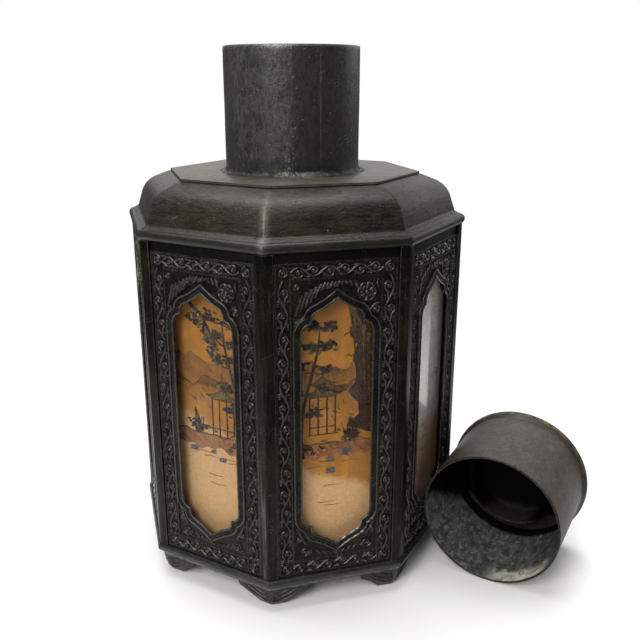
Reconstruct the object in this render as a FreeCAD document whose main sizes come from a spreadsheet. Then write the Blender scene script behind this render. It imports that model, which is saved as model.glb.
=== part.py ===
import FreeCAD
import Part
import Sketcher
import math
import os

# An octagonal pewter tea caddy: pierced side panels with glazed pictures behind
# them, a moulded base on bracket feet, a moulded shoulder, a round neck and a
# push-on cap, which lies on its side beside the right-hand face.
# Frame: Z up along the caddy's axis, Z = 0 where the feet stand, front face to -Y.

SIDES = 8
TURN = 360.0 / SIDES
HALF_TURN = TURN / 2.0

# Driving sizes, in millimetres
SIZES = {
    # Body between the base and the shoulder; an apothem runs from the axis to a face
    "body_apothem": 55.0,
    "body_height": 108.5,
    "post_width": 3.3,
    "post_relief": 0.8,
    "post_rounding": 0.5,
    "panel_thickness": 2.0,
    "glass_thickness": 2.0,
    "card_thickness": 0.6,
    "liner_wall": 0.9,
    "liner_floor": 1.0,
    "pane_side_clearance": 0.2,
    "pane_headroom": 0.3,
    # Pierced window with pointed ends, its raised rim and the border lines
    "window_half_width": 11.6,
    "window_foot_margin": 10.2,
    "window_head_margin": 14.0,
    "window_cusp_inset": 3.1,
    "window_cusp_drop": 7.0,
    "window_notch": 0.7,
    "window_lobe_drop": 3.6,
    "window_shoulder_inset": 1.5,
    "window_shoulder_drop": 2.7,
    "window_ogee_sag": 0.3,
    "rim_width": 2.1,
    "rim_relief": 0.7,
    "border_line": 0.5,
    "border_relief": 0.35,
    "border_groove": 0.2,
    "border_band": 4.2,
    "border_foot_margin": 0.4,
    "frieze_height": 3.2,
    # Base: a moulded rim round a thin floor
    "base_height": 4.5,
    "base_nose": 0.75,
    "base_nose_drop": 1.5,
    "base_nose_height": 0.6,
    "base_foot_setback": 1.1,
    "base_foot_height": 0.7,
    "base_rim_width": 8.0,
    "base_floor": 2.0,
    # Bracket feet at the corners
    "foot_height": 7.5,
    "foot_top_setback": 0.4,
    "foot_curve": 2.3,
    "foot_sole": 2.4,
    "foot_thickness": 5.2,
    "foot_arm": 13.0,
    "foot_flat": 6.0,
    "foot_ear_height": 2.2,
    "foot_ear_width": 0.5,
    "foot_sweep_sag": 0.7,
    # Shoulder: rounded brow, cove and rolled lip, swept round the octagon
    "shoulder_height": 16.7,
    "shoulder_wall": 1.6,
    "shoulder_ledge": 1.2,
    "shoulder_top_setback": 13.6,
    "brow_setback": 8.8,
    "brow_drop": 2.0,
    "brow_sag": 0.8,
    "waist_setback": 4.1,
    "waist_drop": 7.6,
    "cove_setback": 2.8,
    "cove_rise": 5.0,
    "cove_width": 0.8,
    "cove_height": 1.0,
    "cove_sag": 0.2,
    "lip_overhang": 0.8,
    "lip_rise": 1.6,
    "lip_top_rise": 3.2,
    "lip_roll": 1.4,
    # Top plate, neck and the solder round it
    "plate_thickness": 0.9,
    "plate_step": 0.75,
    "plate_seat": 7.0,
    "neck_radius": 23.0,
    "neck_wall": 1.1,
    "neck_height": 40.7,
    "neck_spigot_step": 0.3,
    "neck_seat_clearance": 0.1,
    "solder_width": 2.2,
    "solder_height": 1.8,
    # Cap, in its own frame with the mouth at the bottom
    "cap_clearance": 0.25,
    "cap_wall": 0.75,
    "cap_length": 37.0,
    "cap_top_thickness": 1.4,
    "cap_lip": 1.2,
    "cap_lip_height": 0.6,
    "cap_cove_height": 1.6,
    "cap_top_chamfer": 0.4,
    "collar_radius": 16.1,
    "collar_wall": 0.9,
    "collar_length": 9.0,
    # Where the cap lies: its gap to the body's face and its mouth along that face
    "cap_gap": 0.4,
    "cap_mouth_offset": -3.8,
}

doc = FreeCAD.newDocument("tea_caddy")
sheet = doc.addObject("Spreadsheet::Sheet", "Sizes")
for row, (alias, size) in enumerate(SIZES.items(), start=1):
    sheet.set(f"A{row}", alias)
    sheet.set(f"B{row}", str(size))
    sheet.setAlias(f"B{row}", alias)
doc.recompute()

# Apothems and levels that several pieces share, as expressions on the sheet
FACE_SLOPE = f"tan({HALF_TURN} deg)"
GROUND = "(Sizes.body_apothem - Sizes.post_relief)"
PANEL_BACK = f"({GROUND} - Sizes.panel_thickness)"
GLASS_BACK = f"({PANEL_BACK} - Sizes.glass_thickness)"
CARD_BACK = f"({GLASS_BACK} - Sizes.card_thickness)"
LINER_BACK = f"({CARD_BACK} - Sizes.liner_wall)"
HALF_FACE = f"(Sizes.body_apothem * {FACE_SLOPE})"
BASE_FOOT = "(Sizes.body_apothem - Sizes.base_foot_setback)"
BASE_RIM_BACK = f"({BASE_FOOT} - Sizes.base_rim_width)"
FOOT_FRONT = f"({BASE_FOOT} - Sizes.foot_top_setback)"
SHOULDER_EDGE = "(Sizes.body_apothem - Sizes.shoulder_top_setback)"
PLATE_APOTHEM = f"({SHOULDER_EDGE} - Sizes.plate_step)"
BASE_TOP = "(Sizes.foot_height + Sizes.base_height)"
BODY_TOP = f"({BASE_TOP} + Sizes.body_height)"
SHOULDER_TOP = f"({BODY_TOP} + Sizes.shoulder_height)"
PLATE_TOP = f"({SHOULDER_TOP} + Sizes.plate_thickness)"
NECK_TOP = f"({PLATE_TOP} + Sizes.neck_height)"
SOLDER_TOP = f"({PLATE_TOP} + Sizes.solder_height)"
SPIGOT = "(Sizes.neck_radius - Sizes.neck_spigot_step)"
NECK_SEAT = f"({SPIGOT} + Sizes.neck_seat_clearance)"
CAP_BORE = "(Sizes.neck_radius + Sizes.cap_clearance)"
CAP_RADIUS = f"({CAP_BORE} + Sizes.cap_wall)"
CAP_LIP_RADIUS = f"({CAP_RADIUS} + Sizes.cap_lip)"
CAP_SEAT = "(Sizes.cap_length - Sizes.cap_top_thickness)"
CAP_LIP_FOOT = f"({CAP_SEAT} - Sizes.cap_lip_height)"

UP = FreeCAD.Vector(0, 0, 1)
nodes = []


def value(expression):
    """The number that an expression on the sheet comes to."""
    return float(sheet.evalExpression(str(expression)))


def bind(item, **bindings):
    """Ties properties of an object to expressions on the sheet."""
    for path, expression in bindings.items():
        item.setExpression(path.replace("__", "."), str(expression))


def turned(angle):
    """A placement turned about the caddy's axis."""
    return FreeCAD.Placement(FreeCAD.Vector(), FreeCAD.Rotation(UP, angle))


def node(item, label):
    """Names an object as one sub-part."""
    item.Label = label
    nodes.append(item)
    return item


def ring_of(master, stem):
    """Names a sub-part as the first of its ring and links the others round the axis."""
    node(master, f"{stem}_1")
    for number in range(2, SIDES + 1):
        copy = doc.addObject("App::Link", f"{stem}_{number}")
        copy.LinkedObject = master
        copy.LinkTransform = True
        copy.Placement = turned(TURN * (number - 1))
        node(copy, f"{stem}_{number}")


# Sketches: every corner is pinned to the sheet

def arc_of_sag(dx, dy, sag):
    """The radius of an arc from its chord and how far it rises above it."""
    return f"((({dx})^2 + ({dy})^2) / (8 * {sag}) + {sag} / 2)"


def arc_square_to(run, rise):
    """The radius of an arc that ends square to the run between its two ends."""
    return f"((({run})^2 + ({rise})^2) / (2 * ({run})))"


def pin(sketch, geometry, point, place):
    """Fixes one point of a sketch at a place given as two expressions."""
    for kind, expression in zip(("DistanceX", "DistanceY"), place):
        constraint = Sketcher.Constraint(kind, geometry, point, value(expression))
        index = sketch.addConstraint(constraint)
        sketch.setExpression(f"Constraints[{index}]", str(expression))


def draw_arc(sketch, start, end, radius, bulge):
    """Adds an arc between two points; bulge is the side of its way that it swells to."""
    chord = end - start
    across = FreeCAD.Vector(-chord.y, chord.x, 0).normalize()
    reach = value(radius)
    depth = math.sqrt(max(reach ** 2 - (chord.Length / 2) ** 2, 0))
    left = bulge == "left"
    top = (start + end) / 2 + across * ((reach - depth) if left else (depth - reach))
    ends = (end, start) if left else (start, end)
    geometry = sketch.addGeometry(Part.Arc(ends[0], top, ends[1]), False)
    index = sketch.addConstraint(Sketcher.Constraint("Radius", geometry, reach))
    sketch.setExpression(f"Constraints[{index}]", radius)
    return geometry, left


def outline(sketch, corners, closed=True):
    """Draws an outline through corners: (x, y), or (x, y, radius, bulge) after an arc."""
    points = [FreeCAD.Vector(value(c[0]), value(c[1]), 0) for c in corners]
    count = len(corners)
    edges = []
    for i in range(count if closed else count - 1):
        j = (i + 1) % count
        if len(corners[j]) == 4:
            geometry, swapped = draw_arc(sketch, points[i], points[j], *corners[j][2:])
        else:
            geometry = sketch.addGeometry(Part.LineSegment(points[i], points[j]), False)
            swapped = False
        edges.append((geometry, 2 if swapped else 1, 1 if swapped else 2))
    for i, (geometry, start, end) in enumerate(edges):
        pin(sketch, geometry, start, corners[i][:2])
        if i + 1 < len(edges) or closed:
            onward = edges[(i + 1) % len(edges)]
            sketch.addConstraint(
                Sketcher.Constraint("Coincident", geometry, end, onward[0], onward[1]))
        else:
            pin(sketch, geometry, end, corners[i + 1][:2])


def ring_corners(apothem):
    """The corners of an octagon round the axis, starting right of the front face."""
    reach = f"{apothem} / cos({HALF_TURN} deg)"
    angles = [HALF_TURN - 90.0 + TURN * k for k in range(SIDES)]
    return [(f"{reach} * cos({a} deg)", f"{reach} * sin({a} deg)") for a in angles]


def rectangle(half_width, low, high):
    """The corners of an upright rectangle about the middle of a face."""
    return [
        (f"-({half_width})", low),
        (half_width, low),
        (half_width, high),
        (f"-({half_width})", high),
    ]


def body_sketch(body, name, plane, offset=None):
    """A sketch on one of a body's own planes, moved along the plane's normal."""
    sketch = body.newObject("Sketcher::SketchObject", name)
    support = next(f for f in body.Origin.OriginFeatures if f.Role == plane)
    sketch.AttachmentSupport = (support, [""])
    sketch.MapMode = "FlatFace"
    if offset:
        sketch.setExpression("AttachmentOffset.Base.z", offset)
    return sketch


def new_body(name):
    return doc.addObject("PartDesign::Body", name)


def sweep_round(body, name, profile):
    """Sweeps a profile, drawn as (apothem, level), round the octagon with mitred corners."""
    path = body_sketch(body, f"{name}_path", "XY_Plane")
    front = ("0", f"-{profile[0][0]}")
    outline(path, [front] + ring_corners(profile[0][0]))
    section = body_sketch(body, f"{name}_section", "YZ_Plane")
    outline(section, [(f"-({c[0]})",) + tuple(c[1:]) for c in profile])
    pipe = body.newObject("PartDesign::AdditivePipe", name)
    pipe.Profile = section
    pipe.Spine = (path, [])
    pipe.Transition = "Right corner"
    return pipe


def pad(body, name, corners, level, height):
    """Pads a plan outline upward from a level."""
    plan = body_sketch(body, f"{name}_plan", "XY_Plane", level)
    outline(plan, corners)
    feature = body.newObject("PartDesign::Pad", name)
    feature.Profile = plan
    bind(feature, Length=height)
    return feature


def revolve(name, profile):
    """Turns a profile, drawn as (radius, level), round the Z axis in a body of its own."""
    body = new_body(name)
    section = body_sketch(body, f"{name}_section", "XZ_Plane")
    outline(section, profile)
    feature = body.newObject("PartDesign::Revolution", f"{name}_turning")
    feature.Profile = section
    feature.ReferenceAxis = (section, ["V_Axis"])
    feature.Angle = 360
    return body


def prism(name, apothem, level, height):
    """An upright octagonal prism round the axis with its faces square to X and Y."""
    solid = doc.addObject("Part::Prism", name)
    solid.Polygon = SIDES
    solid.Placement = turned(HALF_TURN)
    bind(solid, Circumradius=f"{apothem} / cos({HALF_TURN} deg)", Height=height)
    bind(solid, Placement__Base__z=level)
    return solid


def cut(name, base, tool):
    solid = doc.addObject("Part::Cut", name)
    solid.Base = base
    solid.Tool = tool
    return solid


# Base and feet

def make_base_plate():
    """A moulded rim with a nose over a sloping band, and a thin floor inside it."""
    body = new_body("base_plate")
    nose = "(Sizes.body_apothem + Sizes.base_nose)"
    nose_top = f"({BASE_TOP} - Sizes.base_nose_drop)"
    nose_foot = f"({nose_top} - Sizes.base_nose_height)"
    band_foot = "(Sizes.foot_height + Sizes.base_foot_height)"
    round_over = arc_square_to("Sizes.base_nose", "Sizes.base_nose_drop")
    sweep_round(body, "base_rim", [
        ("Sizes.body_apothem", BASE_TOP),
        (nose, nose_top, round_over, "right"),
        (nose, nose_foot),
        (BASE_FOOT, band_foot),
        (BASE_FOOT, "Sizes.foot_height"),
        (BASE_RIM_BACK, "Sizes.foot_height"),
        (BASE_RIM_BACK, BASE_TOP),
    ])
    floor_apothem = f"({BASE_RIM_BACK} + Sizes.base_rim_width / 4)"
    floor_level = f"{BASE_TOP} - Sizes.base_floor"
    pad(body, "base_floor", ring_corners(floor_apothem), floor_level, "Sizes.base_floor")
    node(body, "base_plate")


def make_feet():
    """Bracket feet: two arms mitred at a corner, curved under, with swept ends."""
    body = new_body("foot")
    corner = f"({FOOT_FRONT} * {FACE_SLOPE})"
    arm_end = f"({corner} - Sizes.foot_arm)"
    reach = f"Sizes.foot_arm * cos({TURN} deg)"
    path = body_sketch(body, "foot_path", "XY_Plane")
    outline(path, [
        (arm_end, f"-{FOOT_FRONT}"),
        (corner, f"-{FOOT_FRONT}"),
        (f"{corner} + {reach}", f"{reach} - {FOOT_FRONT}"),
    ], closed=False)
    mirror = path.addGeometry(Part.LineSegment(
        FreeCAD.Vector(), FreeCAD.Vector(value(corner), -value(FOOT_FRONT), 0)), True)
    pin(path, mirror, 1, ("0", "0"))
    pin(path, mirror, 2, (corner, f"-{FOOT_FRONT}"))
    section = body_sketch(body, "foot_section", "YZ_Plane", arm_end)
    sole_front = f"({FOOT_FRONT} - Sizes.foot_curve)"
    curve = arc_square_to("Sizes.foot_curve", "Sizes.foot_height")
    outline(section, [
        (f"-{FOOT_FRONT}", "Sizes.foot_height"),
        (f"-{sole_front}", "0", curve, "right"),
        (f"-({sole_front} - Sizes.foot_sole)", "0"),
        (f"-({FOOT_FRONT} - Sizes.foot_thickness)", "Sizes.foot_height"),
    ])
    arms = body.newObject("PartDesign::AdditivePipe", "foot_arms")
    arms.Profile = section
    arms.Spine = (path, ["Edge1", "Edge2"])
    arms.Transition = "Right corner"
    end = body_sketch(body, "foot_end", "XZ_Plane")
    flat = f"({corner} - Sizes.foot_flat)"
    ear = f"({arm_end} + Sizes.foot_ear_width)"
    ear_foot = "(Sizes.foot_height - Sizes.foot_ear_height)"
    outside = f"({arm_end} - Sizes.foot_arm)"
    sweep = arc_of_sag(f"{flat} - {ear}", ear_foot, "Sizes.foot_sweep_sag")
    ear_round = arc_square_to("Sizes.foot_ear_width", "Sizes.foot_ear_height")
    outline(end, [
        (arm_end, "Sizes.foot_height"),
        (ear, ear_foot, ear_round, "right"),
        (flat, "0", sweep, "left"),
        (outside, "0"),
        (outside, "Sizes.foot_height"),
    ])
    trim = body.newObject("PartDesign::Pocket", "foot_trim")
    trim.Profile = end
    trim.Type = "ThroughAll"
    trim.Midplane = True
    mirrored = body.newObject("PartDesign::Mirrored", "foot_both_ends")
    mirrored.Originals = [trim]
    mirrored.MirrorPlane = (path, ["Axis0"])
    body.Tip = mirrored
    ring_of(body, "foot")


# Body

def face_sketch(name, apothem):
    """A free sketch on the plane of the front face, at a given apothem."""
    sketch = doc.addObject("Sketcher::SketchObject", name)
    sketch.Placement = FreeCAD.Placement(
        FreeCAD.Vector(), FreeCAD.Rotation(FreeCAD.Vector(1, 0, 0), 90))
    bind(sketch, Placement__Base__y=f"-{apothem}")
    return sketch


def extrude(name, profile, outward, inward):
    """Extrudes a face sketch outward from the caddy and inward into it."""
    solid = doc.addObject("Part::Extrusion", name)
    solid.Base = profile
    solid.DirMode = "Normal"
    solid.Solid = True
    bind(solid, LengthFwd=outward, LengthRev=inward)
    return solid


def window_end(tip, way, grow=None):
    """The right-hand half of a window's pointed end, from its tip to the straight side.

    A grown end is the same outline a distance further out, with its tip and cusp kept sharp.
    """
    half = "Sizes.window_half_width"
    cusp = f"({half} - Sizes.window_cusp_inset)"
    cusp_level = f"({tip} - {way} * Sizes.window_cusp_drop)"
    lobe_level = f"({cusp_level} - {way} * Sizes.window_notch)"
    side_level = f"({lobe_level} - {way} * Sizes.window_lobe_drop)"
    bend = f"({cusp} - Sizes.window_shoulder_inset)"
    bend_level = f"({cusp_level} + {way} * Sizes.window_shoulder_drop)"
    ogee_drop = "(Sizes.window_cusp_drop - Sizes.window_shoulder_drop)"
    ogee_chord = f"sqrt({bend}^2 + {ogee_drop}^2)"
    ogee = arc_of_sag(bend, ogee_drop, "Sizes.window_ogee_sag")
    shoulder = arc_square_to("Sizes.window_shoulder_inset", "Sizes.window_shoulder_drop")
    lobe = arc_square_to("Sizes.window_cusp_inset", "Sizes.window_lobe_drop")
    if grow is None:
        return [
            (("0", tip), None),
            ((bend, bend_level), (ogee, "right")),
            ((cusp, cusp_level), (shoulder, "left")),
            ((cusp, lobe_level), None),
            ((half, side_level), (lobe, "left")),
        ]
    bend_out = f"({bend} + {grow} * {ogee_drop} / {ogee_chord})"
    bend_up = f"({bend_level} + {way} * {grow} * {bend} / {ogee_chord})"
    cusp_up = f"({lobe_level} + {way} * (Sizes.window_notch + {grow}) / 2)"
    return [
        (("0", f"({tip} + {way} * {grow} * {ogee_chord} / {bend})"), None),
        ((bend_out, bend_up), (ogee, "right")),
        ((f"({cusp} + {grow})", cusp_up), (f"({shoulder} + {grow})", "left")),
        ((f"({half} + {grow})", side_level), (f"({lobe} + {grow})", "left")),
    ]


def walked_back(run):
    """A run of corners the other way round, each arc moved to the corner it then leads to."""
    places = [place for place, _ in reversed(run)]
    arcs = [arc for _, arc in reversed(run[1:])]
    return list(zip(places, [None] + arcs))


def mirrored(run):
    """A run of corners on the other side of the face's middle."""
    return [((f"-({x})", level), arc) for (x, level), arc in run]


def window_sketch(name, grow=None):
    """A sketch of the whole window, or of a grown one, clockwise from its upper tip."""
    head = window_end(f"({BODY_TOP} - Sizes.window_head_margin)", 1, grow)
    foot = window_end(f"({BASE_TOP} + Sizes.window_foot_margin)", -1, grow)
    loop = head + walked_back(foot) + mirrored(foot)[1:] + walked_back(mirrored(head))
    loop[0] = loop.pop()
    sketch = face_sketch(name, GROUND)
    outline(sketch, [place + (arc or ()) for place, arc in loop])
    return sketch


def make_side_panels():
    """Cast panels with a pierced window, its raised rim and two raised border lines."""
    plan = doc.addObject("Sketcher::SketchObject", "panel_plan")
    bind(plan, Placement__Base__z=BASE_TOP)
    outline(plan, [
        (f"-{GROUND} * {FACE_SLOPE}", f"-{GROUND}"),
        (f"{GROUND} * {FACE_SLOPE}", f"-{GROUND}"),
        (f"{PANEL_BACK} * {FACE_SLOPE}", f"-{PANEL_BACK}"),
        (f"-{PANEL_BACK} * {FACE_SLOPE}", f"-{PANEL_BACK}"),
    ])
    plate = doc.addObject("Part::Extrusion", "panel_plate")
    plate.Base = plan
    plate.DirMode = "Normal"
    plate.Solid = True
    bind(plate, LengthFwd="Sizes.body_height")

    embed = "Sizes.panel_thickness / 2"
    rim_edge = window_sketch("rim_edge", "Sizes.rim_width")
    rim = extrude("rim", rim_edge, "Sizes.rim_relief", embed)

    border = face_sketch("border", GROUND)
    half = f"({HALF_FACE} - Sizes.post_width - Sizes.border_groove)"
    low = f"({BASE_TOP} + Sizes.border_foot_margin)"
    high = f"({BODY_TOP} - Sizes.frieze_height)"
    step = "(Sizes.border_band + Sizes.border_line)"
    for inset in ("0", "Sizes.border_line", step, f"({step} + Sizes.border_line)"):
        outline(border, rectangle(f"{half} - {inset}", f"{low} + {inset}", f"{high} - {inset}"))
    lines = extrude("border_lines", border, "Sizes.border_relief", embed)

    blank = doc.addObject("Part::MultiFuse", "panel_blank")
    blank.Shapes = [plate, rim, lines]
    window = window_sketch("window")
    opening = extrude("window_opening", window, "Sizes.rim_relief * 2", "Sizes.panel_thickness * 2")
    ring_of(cut("side_panel", blank, opening), "side_panel")


def make_corner_posts():
    """Two-faced posts that cover the mitres between the panels."""
    body = new_body("corner_post")
    corner = f"({HALF_FACE})"
    face = "-Sizes.body_apothem"
    lean = f"cos({TURN} deg)"
    rounding = "Sizes.post_rounding"
    ground_corner = f"({GROUND} * {FACE_SLOPE})"
    near = f"({corner} - Sizes.post_width)"
    far = f"({corner} + Sizes.post_width * {lean})"
    far_out = f"({face} + Sizes.post_width * {lean})"
    shift = f"Sizes.post_relief * {lean}"
    radius = f"({rounding} / {FACE_SLOPE})"
    pad(body, "corner_post_strip", [
        (near, face),
        (f"{corner} - {rounding}", face),
        (f"{corner} + {rounding} * {lean}", f"{face} + {rounding} * {lean}", radius, "right"),
        (far, far_out),
        (f"{far} - {shift}", f"{far_out} + {shift}"),
        (ground_corner, f"-{GROUND}"),
        (near, f"-{GROUND}"),
    ], BASE_TOP, "Sizes.body_height")
    ring_of(body, "corner_post")


def make_sheets(stem, front, back, thickness):
    """Flat sheets, one behind each window, standing on the base."""
    half = f"({back} * {FACE_SLOPE} - Sizes.pane_side_clearance)"
    box = doc.addObject("Part::Box", stem)
    bind(
        box,
        Length=f"2 * {half}",
        Width=thickness,
        Height="Sizes.body_height - Sizes.pane_headroom",
        Placement__Base__x=f"-{half}",
        Placement__Base__y=f"-{front}",
        Placement__Base__z=BASE_TOP)
    ring_of(box, stem)


def make_inner_liner():
    """The octagonal box that holds the tea, against the backs of the cards."""
    outside = prism("liner_outside", CARD_BACK, BASE_TOP, "Sizes.body_height")
    hollow = prism(
        "liner_hollow", LINER_BACK, f"{BASE_TOP} + Sizes.liner_floor", "Sizes.body_height")
    node(cut("inner_liner", outside, hollow), "inner_liner")


# Shoulder, neck and cap

def make_shoulder():
    """A moulded shell from the rolled lip over the posts up to the top plate's seat."""
    body = new_body("shoulder")
    apothem = "Sizes.body_apothem"
    wall = "Sizes.shoulder_wall"
    opening = f"({SHOULDER_EDGE} - Sizes.plate_seat)"
    brow = (f"({apothem} - Sizes.brow_setback)", f"({SHOULDER_TOP} - Sizes.brow_drop)")
    waist = (f"({apothem} - Sizes.waist_setback)", f"({SHOULDER_TOP} - Sizes.waist_drop)")
    cove = (f"({apothem} - Sizes.cove_setback)", f"({BODY_TOP} + Sizes.cove_rise)")
    cove_foot = (f"({cove[0]} + Sizes.cove_width)", f"({cove[1]} - Sizes.cove_height)")
    lip = (f"({apothem} + Sizes.lip_overhang)", f"({BODY_TOP} + Sizes.lip_rise)")
    lip_top = (f"({lip[0]} - Sizes.lip_roll)", f"({BODY_TOP} + Sizes.lip_top_rise)")
    ledge_top = f"({BODY_TOP} + Sizes.shoulder_ledge)"
    brow_arc = arc_of_sag(f"{waist[0]} - {brow[0]}", f"{brow[1]} - {waist[1]}", "Sizes.brow_sag")
    cove_arc = arc_of_sag("Sizes.cove_width", "Sizes.cove_height", "Sizes.cove_sag")
    roll = arc_square_to("Sizes.lip_roll", "Sizes.lip_top_rise - Sizes.lip_rise")
    under = arc_square_to("Sizes.lip_overhang", "Sizes.lip_rise")
    sweep_round(body, "shoulder_shell", [
        (SHOULDER_EDGE, SHOULDER_TOP),
        brow,
        waist + (brow_arc, "right"),
        cove,
        cove_foot + (cove_arc, "left"),
        lip_top,
        lip + (roll, "right"),
        (apothem, BODY_TOP, under, "right"),
        (LINER_BACK, BODY_TOP),
        (LINER_BACK, ledge_top),
        (f"({cove[0]} - {wall})", ledge_top),
        (f"({cove[0]} - {wall})", cove[1]),
        (f"({waist[0]} - {wall})", f"({waist[1]} - {wall} / 4)"),
        (f"({brow[0]} - {wall} / 2)", f"({brow[1]} - {wall})"),
        (SHOULDER_EDGE, f"({SHOULDER_TOP} - {wall})"),
        (opening, f"({SHOULDER_TOP} - {wall})"),
        (opening, SHOULDER_TOP),
    ])
    node(body, "shoulder")


def make_top_plate():
    """The flat octagon on the shoulder, with the hole that the neck stands in."""
    plate = prism("plate_blank", PLATE_APOTHEM, SHOULDER_TOP, "Sizes.plate_thickness")
    hole = doc.addObject("Part::Cylinder", "plate_hole")
    bind(
        hole,
        Radius=NECK_SEAT,
        Height="3 * Sizes.plate_thickness",
        Placement__Base__z=f"{SHOULDER_TOP} - Sizes.plate_thickness")
    node(cut("top_plate", plate, hole), "top_plate")


def make_neck():
    """A plain tube whose turned-down foot stands in the top plate, and the solder round it."""
    bore = "(Sizes.neck_radius - Sizes.neck_wall)"
    node(revolve("neck", [
        (bore, SHOULDER_TOP),
        (SPIGOT, SHOULDER_TOP),
        (SPIGOT, SOLDER_TOP),
        ("Sizes.neck_radius", SOLDER_TOP),
        ("Sizes.neck_radius", NECK_TOP),
        (bore, NECK_TOP),
    ]), "neck")
    node(revolve("neck_solder", [
        (NECK_SEAT, PLATE_TOP),
        ("Sizes.neck_radius + Sizes.solder_width", PLATE_TOP),
        (NECK_SEAT, f"{SOLDER_TOP} - Sizes.neck_seat_clearance"),
    ]), "neck_solder")


def lying_placement():
    """The cap on its side along the right-hand face, resting on its mouth and its lip."""
    radius = value(CAP_RADIUS)
    tilt = math.atan((value(CAP_LIP_RADIUS) - radius) / value(CAP_LIP_FOOT))
    outward = FreeCAD.Rotation(UP, TURN).multVec(FreeCAD.Vector(0, -1, 0))
    along = FreeCAD.Rotation(UP, TURN).multVec(FreeCAD.Vector(1, 0, 0))
    out = value("Sizes.body_apothem + Sizes.cap_gap") + radius
    mouth = outward * out + along * value("Sizes.cap_mouth_offset") + UP * radius * math.cos(tilt)
    axis = along * math.cos(tilt) + UP * math.sin(tilt)
    return FreeCAD.Placement(mouth, FreeCAD.Rotation(UP, axis))


def make_cap():
    """A spun shell flared to a lip, the disc that closes it and a collar inside."""
    shell = node(revolve("cap_shell", [
        (CAP_BORE, "0"),
        (CAP_RADIUS, "0"),
        (CAP_RADIUS, f"{CAP_LIP_FOOT} - Sizes.cap_cove_height"),
        (CAP_LIP_RADIUS, CAP_LIP_FOOT),
        (CAP_LIP_RADIUS, CAP_SEAT),
        (CAP_BORE, CAP_SEAT),
    ]), "cap_shell")
    chamfer = "Sizes.cap_top_chamfer"
    disc = node(revolve("cap_top", [
        ("0", CAP_SEAT),
        (CAP_LIP_RADIUS, CAP_SEAT),
        (CAP_LIP_RADIUS, f"Sizes.cap_length - {chamfer}"),
        (f"{CAP_LIP_RADIUS} - {chamfer}", "Sizes.cap_length"),
        ("0", "Sizes.cap_length"),
    ]), "cap_top")
    inside = "(Sizes.collar_radius - Sizes.collar_wall)"
    rim = f"({CAP_SEAT} - Sizes.collar_length)"
    collar = node(revolve("cap_collar", [
        (inside, rim),
        ("Sizes.collar_radius", rim),
        ("Sizes.collar_radius", CAP_SEAT),
        (inside, CAP_SEAT),
    ]), "cap_collar")
    for piece in (shell, disc, collar):
        piece.Placement = lying_placement()


make_base_plate()
make_feet()
make_side_panels()
make_corner_posts()
make_sheets("glass_pane", PANEL_BACK, GLASS_BACK, "Sizes.glass_thickness")
make_sheets("picture_card", GLASS_BACK, CARD_BACK, "Sizes.card_thickness")
make_inner_liner()
make_shoulder()
make_top_plate()
make_neck()
make_cap()
doc.recompute()

# Nothing is written unless every object and every sub-part came out sound
for item in doc.Objects:
    if "Invalid" in item.State or "Error" in item.State:
        raise RuntimeError(f"{item.Label} failed: {item.State}")
shapes = {item.Label: Part.getShape(item) for item in nodes}
for label, shape in shapes.items():
    if shape.isNull() or not shape.isValid() or len(shape.Solids) != 1:
        raise RuntimeError(f"{label} is not one sound solid")

os.makedirs("parts", exist_ok=True)
for label, shape in shapes.items():
    shape.exportStep(f"parts/{label}.step")
print(len(shapes), "sub-parts written")
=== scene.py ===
import math
import random
from contextlib import contextmanager

import bmesh
import bpy
from bpy.props import FloatProperty, FloatVectorProperty, IntProperty, PointerProperty
from mathutils import Matrix, Vector, noise


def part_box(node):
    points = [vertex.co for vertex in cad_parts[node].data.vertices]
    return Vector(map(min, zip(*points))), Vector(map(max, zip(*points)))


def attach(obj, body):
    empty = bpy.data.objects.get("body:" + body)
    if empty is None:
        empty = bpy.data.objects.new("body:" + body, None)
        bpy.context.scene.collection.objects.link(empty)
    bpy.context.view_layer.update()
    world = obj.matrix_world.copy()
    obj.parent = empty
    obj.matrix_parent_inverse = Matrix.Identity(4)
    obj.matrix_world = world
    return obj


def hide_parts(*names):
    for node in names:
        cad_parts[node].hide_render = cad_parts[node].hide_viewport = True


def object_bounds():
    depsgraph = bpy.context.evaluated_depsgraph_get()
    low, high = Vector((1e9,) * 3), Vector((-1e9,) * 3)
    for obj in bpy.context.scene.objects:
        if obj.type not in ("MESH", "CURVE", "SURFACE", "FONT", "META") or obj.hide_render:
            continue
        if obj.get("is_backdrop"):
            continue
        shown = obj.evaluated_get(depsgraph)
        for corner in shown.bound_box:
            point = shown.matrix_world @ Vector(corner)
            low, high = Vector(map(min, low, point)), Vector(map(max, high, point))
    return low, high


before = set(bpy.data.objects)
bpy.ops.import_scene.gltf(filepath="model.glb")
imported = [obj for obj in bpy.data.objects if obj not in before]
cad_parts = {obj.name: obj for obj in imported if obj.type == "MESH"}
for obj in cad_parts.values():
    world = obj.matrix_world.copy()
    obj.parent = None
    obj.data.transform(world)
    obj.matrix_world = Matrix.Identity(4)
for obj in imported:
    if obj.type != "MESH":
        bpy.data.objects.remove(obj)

bl_info = {
    "name": "Octagonal Tea Caddy",
    "version": (1, 0, 0),
    "blender": (4, 5, 0),
    "location": "3D View > Sidebar > Tea Caddy",
    "description": "Dresses the packed tea caddy: worn pewter, carved panels, glazed pictures",
    "category": "Object",
}

CAD_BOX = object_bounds()
MM = 0.001
SIDES = 8
TURN = 2 * math.pi / SIDES
SLOPE = math.tan(TURN / 2)
CORNER = math.degrees(TURN / 2)
EVEN = (1, 1, 1)
CADDY = "caddy"
CAP = "cap"

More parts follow.
